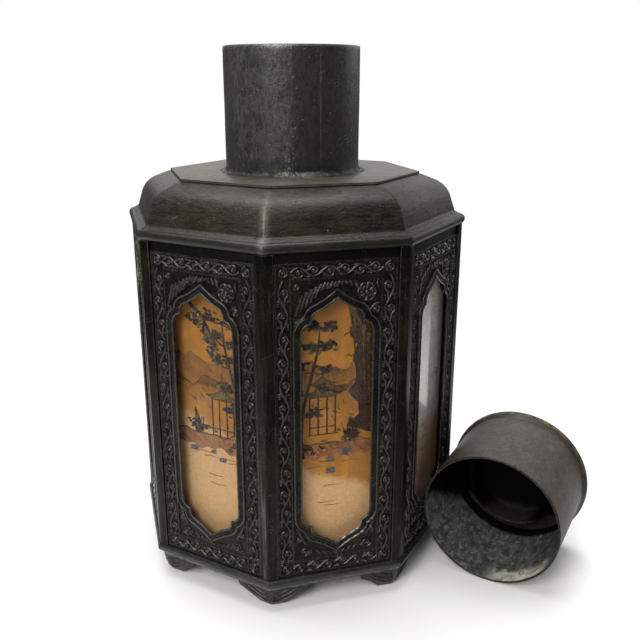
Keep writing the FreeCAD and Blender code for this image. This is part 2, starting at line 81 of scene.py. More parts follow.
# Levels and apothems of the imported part, in millimetres, read from its own nodes
FOOT_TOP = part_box("base_plate")[0].z / MM
BODY_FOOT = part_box("side_panel_1")[0].z / MM
BODY_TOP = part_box("side_panel_1")[1].z / MM
PLATE_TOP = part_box("top_plate")[1].z / MM
NECK_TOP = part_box("neck")[1].z / MM
NECK_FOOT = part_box("neck")[0].z / MM
NECK_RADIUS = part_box("neck")[1].x / MM
SOLDER_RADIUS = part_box("neck_solder")[1].x / MM
SOLDER_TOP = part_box("neck_solder")[1].z / MM
RIM_FRONT = -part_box("side_panel_1")[0].y / MM
GLASS_FRONT = -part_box("glass_pane_1")[0].y / MM
CARD_FRONT = -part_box("picture_card_1")[0].y / MM
FOOT_FRONT = -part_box("foot_1")[0].y / MM

# How far a foot's face falls back at the floor, and how far the rim stands off the ground
FOOT_CURVE = 2.3
RIM_RELIEF = 0.7
GROUND = RIM_FRONT - RIM_RELIEF


def srgb(red, green, blue):
    """A colour as seen on screen, from 0 to 255, as the linear colour that a shader takes."""
    parts = (c / 255 for c in (red, green, blue))
    return tuple(c / 12.92 if c <= 0.04045 else ((c + 0.055) / 1.055) ** 2.4 for c in parts)


def colour(name, description, *parts):
    """A colour that a user may change, from its parts as seen on screen."""
    return FloatVectorProperty(
        name=name, description=description, subtype="COLOR", size=3, min=0, max=1,
        default=srgb(*parts))


def length(name, description, millimetres):
    """A length that a user may change."""
    return FloatProperty(
        name=name, description=description, unit="LENGTH", min=0, default=millimetres * MM)


def power(name, description, watts):
    """A lamp's power that a user may change."""
    return FloatProperty(name=name, description=description, unit="POWER", default=watts)


def share(name, description, value):
    """A level of light that a user may change."""
    return FloatProperty(name=name, description=description, subtype="FACTOR", default=value)


class PewterSettings(bpy.types.PropertyGroup):
    """Colours of the metal."""
    ground: colour("Ground", "Dark pewter of the carved ground", 14, 12, 10)
    relief: colour("Relief", "Rubbed pewter on raised work", 35, 33, 30)
    casework: colour("Casework", "Pewter of the posts and feet", 14, 12, 10)
    base: colour("Base", "Blue-black pewter of the base band", 25, 26, 30)
    shoulder: colour("Shoulder", "Pewter of the shoulder", 31, 28, 22)
    # Much lighter than the shoulder's pewter, partly as painted light and sheen from above
    plate: colour("Plate", "Pewter of the top plate", 84, 79, 72)
    patina: colour("Patina", "Brown bloom on the pewter", 58, 46, 30)
    bare: colour("Bare", "Bright metal where edges are worn", 186, 183, 174)
    neck: colour("Neck", "Pewter of the neck", 50, 49, 47)
    cap: colour("Cap", "Pewter of the cap outside", 74, 69, 63)
    oxide: colour("Oxide", "Grey-green bloom inside the cap", 136, 139, 136)
    lime: colour("Lime", "Whitish crust at the cap's mouth", 232, 228, 212)
    solder: colour("Solder", "Tinned solder at the neck", 34, 34, 35)


class CarvingSettings(bpy.types.PropertyGroup):
    """Sizes of the raised work on the panels."""
    bead: length("Rim bead", "Radius of the beads on the window rim", 0.34)
    stem: length("Stem", "Radius of the scrolling stem", 0.46)
    wave: length("Wave", "Length of one wave of the scroll", 15.0)
    swing: length("Swing", "How far the stem swings to each side", 1.35)
    edge: length("Edge", "Rounding of the casting's edges", 0.18)


class PictureSettings(bpy.types.PropertyGroup):
    """Colours of the painted cards."""
    paper: colour("Paper", "Amber ground of the cards", 180, 121, 36)
    # The pale foreground also stands in for the floor's reflection in the glass
    pale_ground_and_reflection: colour("Mist", "Pale foreground of the cards", 206, 164, 112)
    haze: colour("Haze", "Distant hills", 150, 100, 40)
    ink: colour("Ink", "Dark brown line work", 38, 26, 20)
    foliage: colour("Foliage", "Grey-olive washes", 98, 84, 42)
    earth: colour("Earth", "Red-brown rocks", 62, 28, 12)
    rose: colour("Rose", "Pink-brown washes", 160, 104, 62)
    stone: colour("Stone", "Blue-grey stones", 92, 98, 108)
    seed: IntProperty(name="Seed", description="Lays the pictures out afresh", default=7)


class StageSettings(bpy.types.PropertyGroup):
    """Camera and light."""
    lens: FloatProperty(
        name="Lens", description="Focal length", subtype="DISTANCE_CAMERA", default=43.95)
    key: power("Key", "Power of the left lamp", 9.0)
    fill: power("Fill", "Power of the right lamp", 1.1)
    top: power("Top", "Power of the top lamp", 11.0)
    edge: power("Edge", "Power of the left rear lamp", 0.4)
    back: power("Back", "Power of the rear lamp", 1.7)
    ambient: share("Ambient", "Level of the room's own light", 0.25)
    mirrored: share("Mirrored", "Level of the surround in reflections", 0.14)


class CaddySettings(bpy.types.PropertyGroup):
    """All that a user may change on the caddy."""
    pewter: PointerProperty(type=PewterSettings)
    carving: PointerProperty(type=CarvingSettings)
    picture: PointerProperty(type=PictureSettings)
    stage: PointerProperty(type=StageSettings)


def settings():
    return bpy.context.scene.tea_caddy


# Shader maths

class Wire:
    """A value in a node tree; Python sums on it add the Math nodes."""

    def __init__(self, finish, socket):
        self.finish = finish
        self.socket = socket

    def __add__(self, other):
        return self.finish.math("ADD", self, other)

    def __sub__(self, other):
        return self.finish.math("SUBTRACT", self, other)

    def __rsub__(self, other):
        return self.finish.math("SUBTRACT", other, self)

    def __mul__(self, other):
        return self.finish.math("MULTIPLY", self, other)

    def __abs__(self):
        return self.finish.math("ABSOLUTE", self)

    __radd__ = __add__
    __rmul__ = __mul__


class Finish:
    """A node tree under construction."""

    def __init__(self, tree):
        self.tree = tree
        tree.nodes.clear()

    def node(self, kind, sockets=None, output=0, **settings):
        """Adds a node: its settings first, then its sockets' values or links."""
        made = self.tree.nodes.new("ShaderNode" + kind)
        for key, value in settings.items():
            setattr(made, key, value)
        for key, value in (sockets or {}).items():
            self.feed(made.inputs[key], value)
        return Wire(self, made.outputs[output]) if len(made.outputs) else None

    def feed(self, socket, value):
        if isinstance(value, Wire):
            self.tree.links.new(value.socket, socket)
        elif hasattr(value, "__len__") and socket.type == "RGBA":
            socket.default_value = tuple(value)[:3] + (1.0,)
        else:
            socket.default_value = value

    def math(self, operation, *values):
        return self.node("Math", dict(enumerate(values)), operation=operation)

    def place(self, stretch=EVEN, shift=(0, 0, 0)):
        """Object coordinates in millimetres, stretched along the axes."""
        here = self.node("TexCoord", output="Object")
        scale = tuple(s / MM for s in stretch)
        return self.node("Mapping", {"Vector": here, "Scale": scale, "Location": shift})

    def axis(self, name):
        """One object coordinate in millimetres: X, Y or Z."""
        return self.node("SeparateXYZ", {0: self.place()}, name)

    def axes(self):
        """All three object coordinates in millimetres."""
        return [self.axis(name) for name in "XYZ"]

    def noise(self, size, detail=3.0, rough=0.55, stretch=EVEN, shift=(0, 0, 0)):
        """Noise from 0 to 1 whose blotches are about size millimetres across."""
        return self.node("TexNoise", {
            "Vector": self.place(stretch, shift),
            "Scale": 1 / size,
            "Detail": detail,
            "Roughness": rough,
        })

    def drawn(self, turn, sizes, detail=0.0, rough=0.5, shift=(0, 0, 0)):
        """Noise turned by three angles, then drawn out to its own size along each axis."""
        turned_place = self.node("Mapping", {
            "Vector": self.place(EVEN, shift), "Rotation": turn})
        pulled = self.node("Mapping", {
            "Vector": turned_place, "Scale": tuple(1 / size for size in sizes)})
        return self.node("TexNoise", {
            "Vector": pulled, "Scale": 1.0, "Detail": detail, "Roughness": rough})

    def marks(self, lean, long, wide, shift=(0, 0, 0)):
        """Straight marks that lean by an angle in the front plane."""
        return self.drawn((0, math.radians(lean), 0), (long, long, wide), shift=shift)

    def cells(self, size):
        """Distance to the nearest point of a field of cells."""
        return self.node("TexVoronoi", {"Vector": self.place(), "Scale": 1 / size})

    def bearing(self):
        """The angle round the axis in degrees: 0 at the front panel, growing to the right."""
        angle = self.math("ARCTAN2", self.axis("X"), self.axis("Y") * -1)
        return angle * math.degrees(1)

    def step(self, value, low, high):
        """A soft step: 0 below low and 1 above high."""
        return self.node("MapRange", {
            "Value": value, "From Min": low, "From Max": high}, interpolation_type="SMOOTHSTEP")

    def mix(self, factor, first, second):
        """Blends two colours."""
        return self.node("Mix", {0: factor, 6: first, 7: second}, output=2, data_type="RGBA")

    def over(self, tone, *layers):
        """Lays colours over a tone, each by its own factor."""
        for factor, layer in layers:
            tone = self.mix(factor, tone, layer)
        return tone

    def bump(self, height, millimetres):
        """A normal bent by a height field whose full rise is so many millimetres."""
        return self.node("Bump", {
            "Height": height, "Distance": millimetres * MM, "Strength": 1.0})

    def surface(self, sockets):
        """The Principled shader and the material's output."""
        self.node("OutputMaterial", {"Surface": self.node("BsdfPrincipled", sockets)})


def new_material(name):
    """An empty material and its node tree's builder."""
    material = bpy.data.materials.new(name)
    material.use_nodes = True
    return material, Finish(material.node_tree)


def shade(value, factor):
    """A colour made darker or lighter."""
    return tuple(min(c * factor, 1) for c in value)


def pewter(name, body, patina, wear, roughness, gloss, touch=None, grain=EVEN):
    """Aged pewter: a mottled skin drawn along the grain, brown bloom, specks, pits and scratches.

    touch adds the marks of one piece, and on some pieces painted light and shade, to the finished
    tone.
    """
    material, f = new_material(name)
    p = settings().pewter
    broad = f.noise(17.0, 2.0)
    cloud = f.noise(2.6, 6.0, 0.7, grain)
    skin = f.noise(0.9, 4.0, 0.8, grain)
    soot = f.step(f.noise(1.3, 5.0, 0.7, grain, (9, 4, 2)), 0.52, 0.68)
    pit = f.step(f.cells(1.7), 0.20, 0.08) * f.step(f.noise(4.0), 0.5, 0.62)
    speck = f.step(f.noise(0.42, 2.0, 0.6, EVEN, (5, 1, 8)), 0.62, 0.72)
    speck = speck * f.step(f.noise(6.0, 2.0), 0.4, 0.65)
    line = f.step(f.marks(24, 4.5, 0.16), 0.73, 0.79)
    line = line + f.step(f.marks(-64, 3.4, 0.14, (3, 7, 1)), 0.74, 0.80)
    line = line * f.step(f.noise(7.0, 1.0, 0.5, EVEN, (1, 8, 3)), 0.54, 0.62)
    rub = f.step(cloud * 0.6 + skin * 0.4, 0.56, 0.74)
    bare = f.math("MINIMUM", rub * wear + speck * 0.22 + line * 0.14, 1.0)
    mottle = f.step(cloud * 0.35 + skin * 0.65, 0.4, 0.6)
    bloom = f.step(broad * 0.6 + cloud * 0.4, 0.42, 0.62)
    tone = f.over(
        f.mix(mottle, shade(body, 0.25), shade(body, 2.2)),
        (bloom * patina, p.patina),
        (soot * 0.6, shade(body, 0.4)),
        (pit * 0.6, shade(body, 0.3)),
        (bare, p.bare))
    f.surface({
        "Base Color": touch(f, tone) if touch else tone,
        "Metallic": f.math("MINIMUM", bare * 0.5 + 0.25, 1.0),
        "Roughness": skin * 0.16 + soot * 0.12 + (roughness - 0.1) - bare * 0.1,
        "Specular IOR Level": gloss,
        "Normal": f.bump(skin * 0.5 + cloud * 0.5 - pit * 0.8 - line * 0.3, 0.22),
    })
    return material


def painted_shade_under_lip(f, tone):
    """Painted shade: a near-black band with a ragged edge under the shoulder's lip."""
    ragged = f.axis("Z") + f.noise(2.5, 4.0, 0.65) * 1.6
    return f.mix(f.step(ragged, BODY_TOP - 3.4, BODY_TOP - 1.6) * 0.85, tone, srgb(7, 7, 8))


# Modelling by hand

# Points closer than this are one
DOUBLES = 0.002 * MM
# Triangles that lie flatter than this belong to one plain face
FLAT = math.radians(0.4)
# Places in a casting's list of materials
SKIN, WORN, BURR = range(3)
# A hair's breadth, in millimetres, to tell faces that touch apart
HAIR = 0.05


def linked(name, data):
    """A new object at the origin of the scene."""
    made = bpy.data.objects.new(name, data)
    bpy.context.scene.collection.objects.link(made)
    return made


def only(piece):
    """Leaves one object selected and active."""
    bpy.ops.object.select_all(action="DESELECT")
    piece.select_set(True)
    bpy.context.view_layer.objects.active = piece


@contextmanager
def editing(piece, mode="FACE", action="SELECT"):
    """Opens a piece in edit mode with all or nothing selected, and closes it again."""
    only(piece)
    bpy.ops.object.mode_set(mode="EDIT")
    bpy.ops.mesh.select_mode(type=mode)
    bpy.ops.mesh.select_all(action=action)
    yield bmesh.from_edit_mesh(piece.data)
    bpy.ops.object.mode_set(mode="OBJECT")


def new_piece(name, verts, edges=(), faces=()):
    """An object with a mesh of its own."""
    mesh = bpy.data.meshes.new(name)
    mesh.from_pydata([tuple(v) for v in verts], edges, faces)
    return linked(name, mesh)


def apply(piece, kind, **values):
    """Adds a modifier, sets it and applies it."""
    only(piece)
    modifier = piece.modifiers.new(kind.title(), kind)
    for key, value in values.items():
        setattr(modifier, key, value)
    bpy.ops.object.modifier_apply(modifier=modifier.name)


def smooth(piece, degrees=32.0):
    only(piece)
    bpy.ops.object.shade_smooth_by_angle(angle=math.radians(degrees))


def tidy_mesh(piece):
    """Merges doubles and turns the faces outward."""
    with editing(piece):
        bpy.ops.mesh.remove_doubles(threshold=DOUBLES)
        bpy.ops.mesh.normals_make_consistent(inside=False)


def copied_node(node, name):
    """A piece with its own copy of a CAD node's mesh, its triangles joined into plain faces."""
    piece = linked(name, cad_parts[node].data.copy())
    only(piece)
    bpy.ops.mesh.customdata_custom_splitnormals_clear()
    with editing(piece):
        bpy.ops.mesh.remove_doubles(threshold=DOUBLES)
        bpy.ops.mesh.dissolve_limited(angle_limit=FLAT)
    piece.data.materials.clear()
    for _ in (SKIN, WORN, BURR):
        piece.data.materials.append(None)
    return piece


def soften(piece, radius, degrees=28.0):
    """Rounds a casting's sharp edges; the rounded strips take the second material."""
    apply(
        piece, "BEVEL", width=radius, segments=2, limit_method="ANGLE",
        angle_limit=math.radians(degrees), material=WORN, use_clamp_overlap=False)
    smooth(piece)


def repaint(piece, index, test):
    """Gives the faces that pass a test another of the piece's materials."""
    for face in piece.data.polygons:
        if test(face):
            face.material_index = index


def dress(piece, materials, *nodes, body=CADDY, slot="aged_pewter"):
    """Gives a finished piece its materials and its body, and hides the nodes it stands for. The
    slot is not used.
    """
    while len(piece.data.materials) < len(materials):
        piece.data.materials.append(None)
    for i, material in enumerate(materials):
        piece.data.materials[i] = material
    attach(piece, body)
    if nodes:
        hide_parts(*nodes)


def ring(master, stem, materials, node=None, slot="aged_pewter"):
    """Dresses eight copies of the master round the axis, each with its own mesh."""
    for k in range(SIDES):
        mesh = master.data.copy()
        mesh.transform(Matrix.Rotation(TURN * k, 4, "Z"))
        nodes = [f"{node}_{k + 1}"] if node else []
        dress(linked(f"{stem}_{k + 1}", mesh), materials, *nodes, slot=slot)
    bpy.data.objects.remove(master)


def turned(name, profile, steps=144):
    """A closed profile of (radius, level) spun round the Z axis."""
    count = len(profile)
    edges = [(i, (i + 1) % count) for i in range(count)]
    piece = new_piece(name, [(r * MM, 0, z * MM) for r, z in profile], edges)
    with editing(piece, "VERT"):
        bpy.ops.mesh.spin(
            steps=steps, angle=2 * math.pi, center=(0, 0, 0), axis=(0, 0, 1),
            use_normal_flip=False)
    tidy_mesh(piece)
    return piece


def rounded(points, radius, steps=4):
    """Rounds the corners of a closed profile."""
    made = []
    count = len(points)
    for i, point in enumerate(points):
        here = Vector(point)
        back = Vector(points[i - 1]) - here
        ahead = Vector(points[(i + 1) % count]) - here
        reach = min(radius, back.length * 0.45, ahead.length * 0.45)
        start = here + back.normalized() * reach
        end = here + ahead.normalized() * reach
        for k in range(steps + 1):
            t = k / steps
            made.append((start * (1 - t) ** 2 + here * 2 * t * (1 - t) + end * t ** 2)[:])
    return made


def swung(centre, reach, angle):
    """The point at a distance and an angle from a centre."""
    return centre[0] + reach * math.cos(angle), centre[1] + reach * math.sin(angle)


# Stage

# The camera in millimetres, the floor in metres
CAMERA_PLACE = (-65.9, -268.8, 169.1)
CAMERA_WAY = (0.2592, 0.9188, -0.2976)
KEY_TINT = (1, 0.985, 0.96)
FLOOR_RADIUS = 1.6
FLOOR_DROP = 0.02 * MM


def aimed(way):
    """The rotation of a camera or a lamp that looks along a direction."""
    return way.to_track_quat("-Z", "Y").to_euler()


def softbox(name, place, target, size, watts, tint=EVEN):
    """A rectangular lamp that faces a target."""
    lamp = bpy.data.lights.new(name, "AREA")
    lamp.shape = "RECTANGLE"
    lamp.size, lamp.size_y = size
    lamp.energy = watts
    lamp.color = tint
    holder = linked(name, lamp)
    holder.location = place
    holder.rotation_euler = aimed(Vector(target) - Vector(place))


class CADDY_OT_stage(bpy.types.Operator):
    """Sets the camera, the pale floor, the white surround and the soft lamps"""
    bl_idname = "caddy.stage"
    bl_label = "Set Stage"

    def execute(self, context):
        stage = settings().stage
        scene = context.scene
        scene.view_settings.view_transform = "Standard"
        camera = bpy.data.cameras.new("camera")
        camera.lens = stage.lens
        camera.sensor_width = 36.0
        camera.clip_start = 0.01
        holder = linked("camera", camera)
        holder.location = Vector(CAMERA_PLACE) * MM
        holder.rotation_euler = aimed(Vector(CAMERA_WAY))
        scene.camera = holder
        scene.world = self.surround(stage)
        body = (0, 0, 0.08)
        softbox("key_lamp", (-0.58, -0.72, 0.72), body, (0.45, 0.6), stage.key, KEY_TINT)
        softbox("fill_lamp", (0.85, 0.3, 0.45), (0.03, 0, 0.06), (0.6, 0.6), stage.fill)
        softbox("edge_lamp", (-0.85, 0.4, 0.4), body, (0.6, 0.6), stage.edge)
        softbox("back_lamp", (0.28, 1.0, 0.5), (0, 0, 0.12), (1.3, 0.5), stage.back)
        softbox("top_lamp", (-0.05, 0.2, 1.05), (0, 0, 0.05), (0.9, 0.9), stage.top)

        bpy.ops.object.select_all(action="DESELECT")
        bpy.ops.mesh.primitive_circle_add(vertices=96, radius=FLOOR_RADIUS, fill_type="NGON")
        floor = context.object
        floor.name = "floor"
        with editing(floor):
            bpy.ops.transform.translate(value=(0, 0, -FLOOR_DROP))
        floor.data.materials.append(self.floor_paper())
        floor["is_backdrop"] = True
        return {"FINISHED"}

    def surround(self, stage):
        """White to the camera and through glass, dim as a light and in reflections."""
        world = bpy.data.worlds.new("surround")
        world.use_nodes = True
        f = Finish(world.node_tree)
        seen = f.math("MAXIMUM", f.node("LightPath", output="Is Camera Ray"),
                      f.node("LightPath", output="Is Transmission Ray"))
        mirrored = f.node("LightPath", output="Is Glossy Ray") * (stage.mirrored - stage.ambient)
        level = f.math("MAXIMUM", seen, mirrored + stage.ambient)
        light = f.node("Background", {"Color": (1, 1, 1), "Strength": level})
        f.node("OutputWorld", {"Surface": light})
        return world

    def floor_paper(self):
        """Pale paper that fades out, and that the front of the caddy hardly mirrors."""
        material, f = new_material("floor_paper")
        x, y = f.axis("X"), f.axis("Y")
        away = f.math("SQRT", x * x + y * y)
        front = f.step(y - x * 0.4, -60.0, -150.0)
        mirrored = f.node("LightPath", output="Is Glossy Ray") * front
        f.surface({
            "Base Color": f.mix(f.noise(60.0), (0.95, 0.95, 0.95), (0.97, 0.97, 0.97)),
            "Roughness": 0.9,
            "Specular IOR Level": 0.0,
            "Alpha": f.step(away, 420.0, 190.0) * (1 - mirrored * 0.9),
        })
        return material


# Casework

def post_streaks_and_painted_light(f, tone):
    """Olive streaks down the posts, a painted highlight low on the front post's left edge, and
    painted shade at their heads under the lip.
    """
    streak = f.step(f.noise(1.1, 4.0, 0.7, (1, 1, 0.04), (3, 5, 1)), 0.5, 0.68)
    # Painted highlight: bright metal low down the front post's left edge
    off = abs(f.bearing() + CORNER + 1.3)
    rub = f.step(off, 1.5, 0.3) * f.step(f.axis("Z") + f.noise(9.0) * 20, 70.0, 34.0)
    return painted_shade_under_lip(f, f.over(
        tone,
        (streak * 0.22, srgb(58, 52, 37)),
        (rub * streak * 0.6, shade(settings().pewter.bare, 0.4))))


def plate_wear_and_painted_sheen(f, tone):
    """Evens the top plate's colour toward its light pewter, which partly stands in for the light
    and sheen it catches from above, with brown clouds and a few long rubs.
    """
    p = settings().pewter
    brown = f.step(f.noise(8.0, 5.0, 0.65), 0.45, 0.65)
    rub = f.step(f.noise(1.6, 3.0, 0.6, (0.12, 1, 1), (6, 2, 3)), 0.56, 0.72)
    return f.over(
        tone,
        (0.55, p.plate),
        (brown * 0.5, srgb(84, 72, 56)),
        (rub * 0.3, shade(p.bare, 0.6)))


def painted_lip_shade_and_hip_highlight(f, tone):
    """Painted shade darkening the lip, which faces the top lamp, and a soft painted highlight down
    the front hip.
    """
    p = settings().pewter
    rise = f.axis("Z") - BODY_TOP
    off = abs(f.bearing() + CORNER)
    # Painted highlight: a soft bright streak down the front hip, weaker on the lip
    streak = f.step(off, 2.2, 0.1) * f.step(rise, 17.5, 9.5) * (f.step(rise, 1.0, 5.0) * 0.6 + 0.4)
    patchy = f.step(f.noise(2.5, 3.0, 0.6), 0.2, 0.55)
    # The lip darkens first as painted shade, then the painted highlight goes over it
    return f.over(
        tone,
        (f.step(rise, 6.0, 2.5) * 0.5, shade(p.shoulder, 0.45)),
        (streak * patchy * 0.42, shade(p.bare, 0.5)))


class CADDY_OT_casework(bpy.types.Operator):
    """Rounds and rubs the base, the posts, the feet, the shoulder and the top plate, and paints
    light and shade on some of them
    """
    bl_idname = "caddy.casework"
    bl_label = "Finish Casework"

    def execute(self, context):
        p = settings().pewter
        edge = settings().carving.edge
        worn = pewter("worn_edge", p.relief, 0.2, 0.75, 0.36, 0.4)
        burr = pewter("worn_burr", shade(p.bare, 0.16), 0.1, 0.5, 0.34, 0.6)
        lip = pewter("shoulder_edge", p.relief, 0.2, 0.5, 0.36, 0.4, painted_lip_shade_and_hip_highlight)
        upright = pewter(
            "post_pewter", p.casework, 0.22, 0.12, 0.36, 0.12, post_streaks_and_painted_light, (1.8, 1.8, 0.07))
        level = pewter("base_pewter", p.base, 0.1, 0.1, 0.36, 0.7, None, (0.4, 0.4, 1.4))
        crown = pewter(
            "shoulder_pewter", p.shoulder, 0.5, 0.07, 0.38, 0.5, painted_lip_shade_and_hip_highlight, (0.35, 0.35, 1.7))
        flat = pewter("plate_pewter", p.plate, 0.3, 0.12, 0.36, 0.4, plate_wear_and_painted_sheen, (0.45, 0.6, 1))
        carved = pewter("foot_pewter", p.casework, 0.2, 0.12, 0.38, 0.6)
        for stem, rounding, finish in (
                ("corner_post", edge * 1.6, upright), ("foot", edge * 2.4, carved)):
            master = copied_node(f"{stem}_1", f"{stem}_casting")
            soften(master, rounding)
            ring(master, f"{stem}_casting", (finish, worn), stem)
        for node, rounding, angle, finish, rubbed in (
                ("base_plate", edge * 1.6, 28.0, level, worn),
                ("shoulder", edge * 2.6, 16.0, crown, lip),
                ("top_plate", edge * 1.4, 28.0, flat, worn)):
            piece = copied_node(node, f"{node}_casting")
            soften(piece, rounding, angle)
            dress(piece, (finish, rubbed, burr), node)
            if node == "base_plate":
                low = (FOOT_TOP + 1.2) * MM
                repaint(
                    piece, BURR,
                    lambda face: face.material_index == WORN and face.center.z < low)
            if node == "shoulder":
                lip_top = (BODY_TOP + 2.0) * MM
                repaint(piece, SKIN, lambda face: face.center.z > lip_top)
        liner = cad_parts["inner_liner"]
        liner.material_slots[0].material = pewter("liner_pewter", p.casework, 0.6, 0.1, 0.42, 0.3)
        return {"FINISHED"}


# Panels and their carving

# Half sizes of the field that holds only the window's edge, and how far its back edge grows
WINDOW_FIELD = (15.0, 48.0)
UNDERCUT = (1.28, 1.06)


def rubbed_corner(f, tone):
    """Bright metal low on the right of the front window, where fingers catch it."""
    x, y, z = f.axes()
    here = f.step(z, 33.0, 26.0) * f.step(x, 0.5, 3.5) * f.step(y, -50.0, -52.0)
    patchy = f.step(f.noise(1.4, 4.0, 0.7), 0.4, 0.6)
    return f.mix(here * patchy * 0.8, tone, settings().pewter.bare)


class CADDY_OT_panels(bpy.types.Operator):
    """Rounds the pierced panels and lays two beads along each window's rim"""
    bl_idname = "caddy.panels"
    bl_label = "Finish Panels"

    def execute(self, context):
        p = settings().pewter
        carving = settings().carving
        # The carved ground, with painted shade under the shoulder's lip
        ground = pewter("panel_ground", p.ground, 0.3, 0.05, 0.42, 0.16, painted_shade_under_lip)
        rubbed = pewter("rubbed_relief", p.relief, 0.15, 0.24, 0.29, 0.7)
        rim = pewter("rim_bead", p.relief, 0.15, 0.22, 0.28, 0.8, rubbed_corner)
        master = copied_node("side_panel_1", "panel_casting")
        beads = self.rim_beads(master, carving.bead)
        self.undercut(master)
        soften(master, carving.edge * 0.7)
        ring(master, "panel_casting", (ground, rubbed), "side_panel")
        ring(beads, "window_beads", (rim,))
        return {"FINISHED"}

    def undercut(self, panel):
        """Widens the window's back edge, so that the casting looks thinner at the rim."""
        back = -(GLASS_FRONT + HAIR) * MM
        middle = (BODY_FOOT + BODY_TOP) / 2 * MM
        half, tall = (size * MM for size in WINDOW_FIELD)
        for v in panel.data.vertices:
            if v.co.y > back and abs(v.co.x) < half and abs(v.co.z - middle) < tall:
                v.co.x *= UNDERCUT[0]
                v.co.z = middle + (v.co.z - middle) * UNDERCUT[1]

    def rim_beads(self, panel, radius):
        """Beads along both edges of the rim's face, from the casting's own edges."""
        front = -(RIM_FRONT - 0.01) * MM
        with editing(panel, "EDGE", "DESELECT") as mesh:
            for edge in mesh.edges:
                on_face = all(v.co.y < front for v in edge.verts)
                edge.select = on_face and edge.calc_face_angle(0) > 0.5
            bpy.ops.mesh.duplicate()
            bpy.ops.mesh.separate(type="SELECTED")
        lines = next(o for o in bpy.context.selected_objects if o != panel)
        only(lines)
        bpy.ops.object.convert(target="CURVE")
        lines.data.bevel_depth = radius
        lines.data.bevel_resolution = 2
        bpy.ops.object.convert(target="MESH")
        lines.data.transform(Matrix.Translation((0, radius * 0.25, 0)))
        lines.data.materials.clear()
        tidy_mesh(lines)
        smooth(lines, 60)
        return lines


CARVING_SEED = 3
# A curl in a hollow of a vine: points, turns, first angle, widest reach and loss of reach
CURL_POINTS = 18
CURL_TURNS = 1.3
CURL_START = math.radians(195)
CURL_REACH, CURL_LOSS = 1.55, 1.2
# How far the curl sits off the vine's middle line, and how much it is flattened
CURL_OFF, CURL_FLAT = 0.4, 0.92
# A boss's radius as a share of the stem's
BOSS = 1.35


class Carving:
    """Raised strokes on the front panel, gathered as tapered round wires.

    Points are (across, level) in millimetres; sizes are shares of the stem's radius.
    """

    def __init__(self, stem):
        self.stem = stem
        self.rng = random.Random(CARVING_SEED)
        self.strokes = []
        self.dots = []

    def stroke(self, points, start=1.0, end=1.0):
        self.strokes.append((list(points), start, end))

    def dot(self, point, size=1.0):
        self.dots.append((point, size))

    def curl(self, centre, wide, narrow, start, turns, size=1.0):
        """A spiral that tightens round its centre, with a boss in the middle."""
        steps = max(8, int(abs(turns) * 14))
        points = []
        for i in range(steps + 1):
            t = i / steps
            reach = wide + (narrow - wide) * t ** 0.8
            points.append(swung(centre, reach, math.radians(start) + turns * 2 * math.pi * t))
        self.stroke(points, size, size * 0.75)
        self.dot(centre, size * 0.9)

    def leaf(self, root, tip, size):
        """A plump stroke that narrows at both ends."""
        root, tip = Vector(root), Vector(tip)
        side = (tip - root).orthogonal() * 0.12
        points = [
            (root + (tip - root) * t + side * math.sin(math.pi * t))[:]
            for t in (0, 0.25, 0.5, 0.75, 1)]
        self.stroke(points[:3], size * 0.45, size)
        self.stroke(points[2:], size, size * 0.35)

    def fan(self, root, way, spread, reach, count, size=0.8):
        """Short strokes that fan out like the veins of a leaf."""
        for i in range(count):
            angle = math.radians(way + spread * (i / (count - 1) - 0.5))
            self.stroke(
                [swung(root, reach * 0.25, angle), swung(root, reach, angle)], size, size * 0.5)

    def vine(self, run, place, swing, wave, flip=1):
        """A waving stem with a curl in each hollow; place turns (along, across) into a point."""
        count = max(2, round(run / (wave / 2)))
        half = run / count
        steps = count * 8
        stem = []
        for i in range(steps + 1):
            along = run * i / steps
            stem.append(place(along, flip * swing * math.sin(math.pi * along / half)))
        self.stroke(stem, 1.1, 1.1)
        for i in range(count):
            start = i * half
            way = flip * (1 if i % 2 == 0 else -1)
            middle = (i + 0.5 + self.rng.uniform(-0.05, 0.05)) * half
            grow = self.rng.uniform(0.9, 1.12)
            turns = []
            for k in range(CURL_POINTS):
                t = k / (CURL_POINTS - 1)
                reach = (CURL_REACH - CURL_LOSS * t ** 0.8) * grow
                angle = CURL_START + CURL_TURNS * 2 * math.pi * t
                turns.append(place(
                    middle + reach * math.cos(angle),
                    way * (reach * CURL_FLAT * math.sin(angle) - CURL_OFF)))
            self.stroke([place(start - 0.3, way * -0.35)] + turns, 1.15, 0.75)
            self.dot(place(middle, way * -CURL_OFF))
            for k in range(3):
                root = place(start + 0.9 - 0.75 * k, way * (1.75 - 0.1 * k))
                tip = place(start + 1.7 - 0.85 * k, way * (0.75 + 0.2 * k))
                self.stroke([root, tip], 1.05, 0.55)
            self.stroke(
                [place(start + 0.5, way * -1.2), place(start + 1.0, way * -1.85)], 1.2, 0.8)

    def build(self, name, depth):
        """Makes the strokes and bosses one mesh; depth gives the ground's apothem at a level."""
        data = bpy.data.curves.new(name, "CURVE")
        data.dimensions = "3D"
        data.bevel_depth = self.stem
        data.bevel_resolution = 1
        data.use_fill_caps = True
        for points, start, end in self.strokes:
            spline = data.splines.new("POLY")
            spline.points.add(len(points) - 1)
            for i, (u, z) in enumerate(points):
                t = i / (len(points) - 1)
                spline.points[i].co = (u * MM, -depth(z) * MM, z * MM, 1)
                spline.points[i].radius = start + (end - start) * t
        wires = linked(name, data)
        only(wires)
        bpy.ops.object.convert(target="MESH")
        for (u, z), size in self.dots:
            bpy.ops.object.select_all(action="DESELECT")
            bpy.ops.mesh.primitive_ico_sphere_add(
                subdivisions=2, radius=self.stem * size * BOSS,
                location=(u * MM, -depth(z) * MM, z * MM))
            wires.select_set(True)
            bpy.context.view_layer.objects.active = wires
            bpy.ops.object.join()
        tidy_mesh(wires)
        smooth(wires, 60)
        return wires


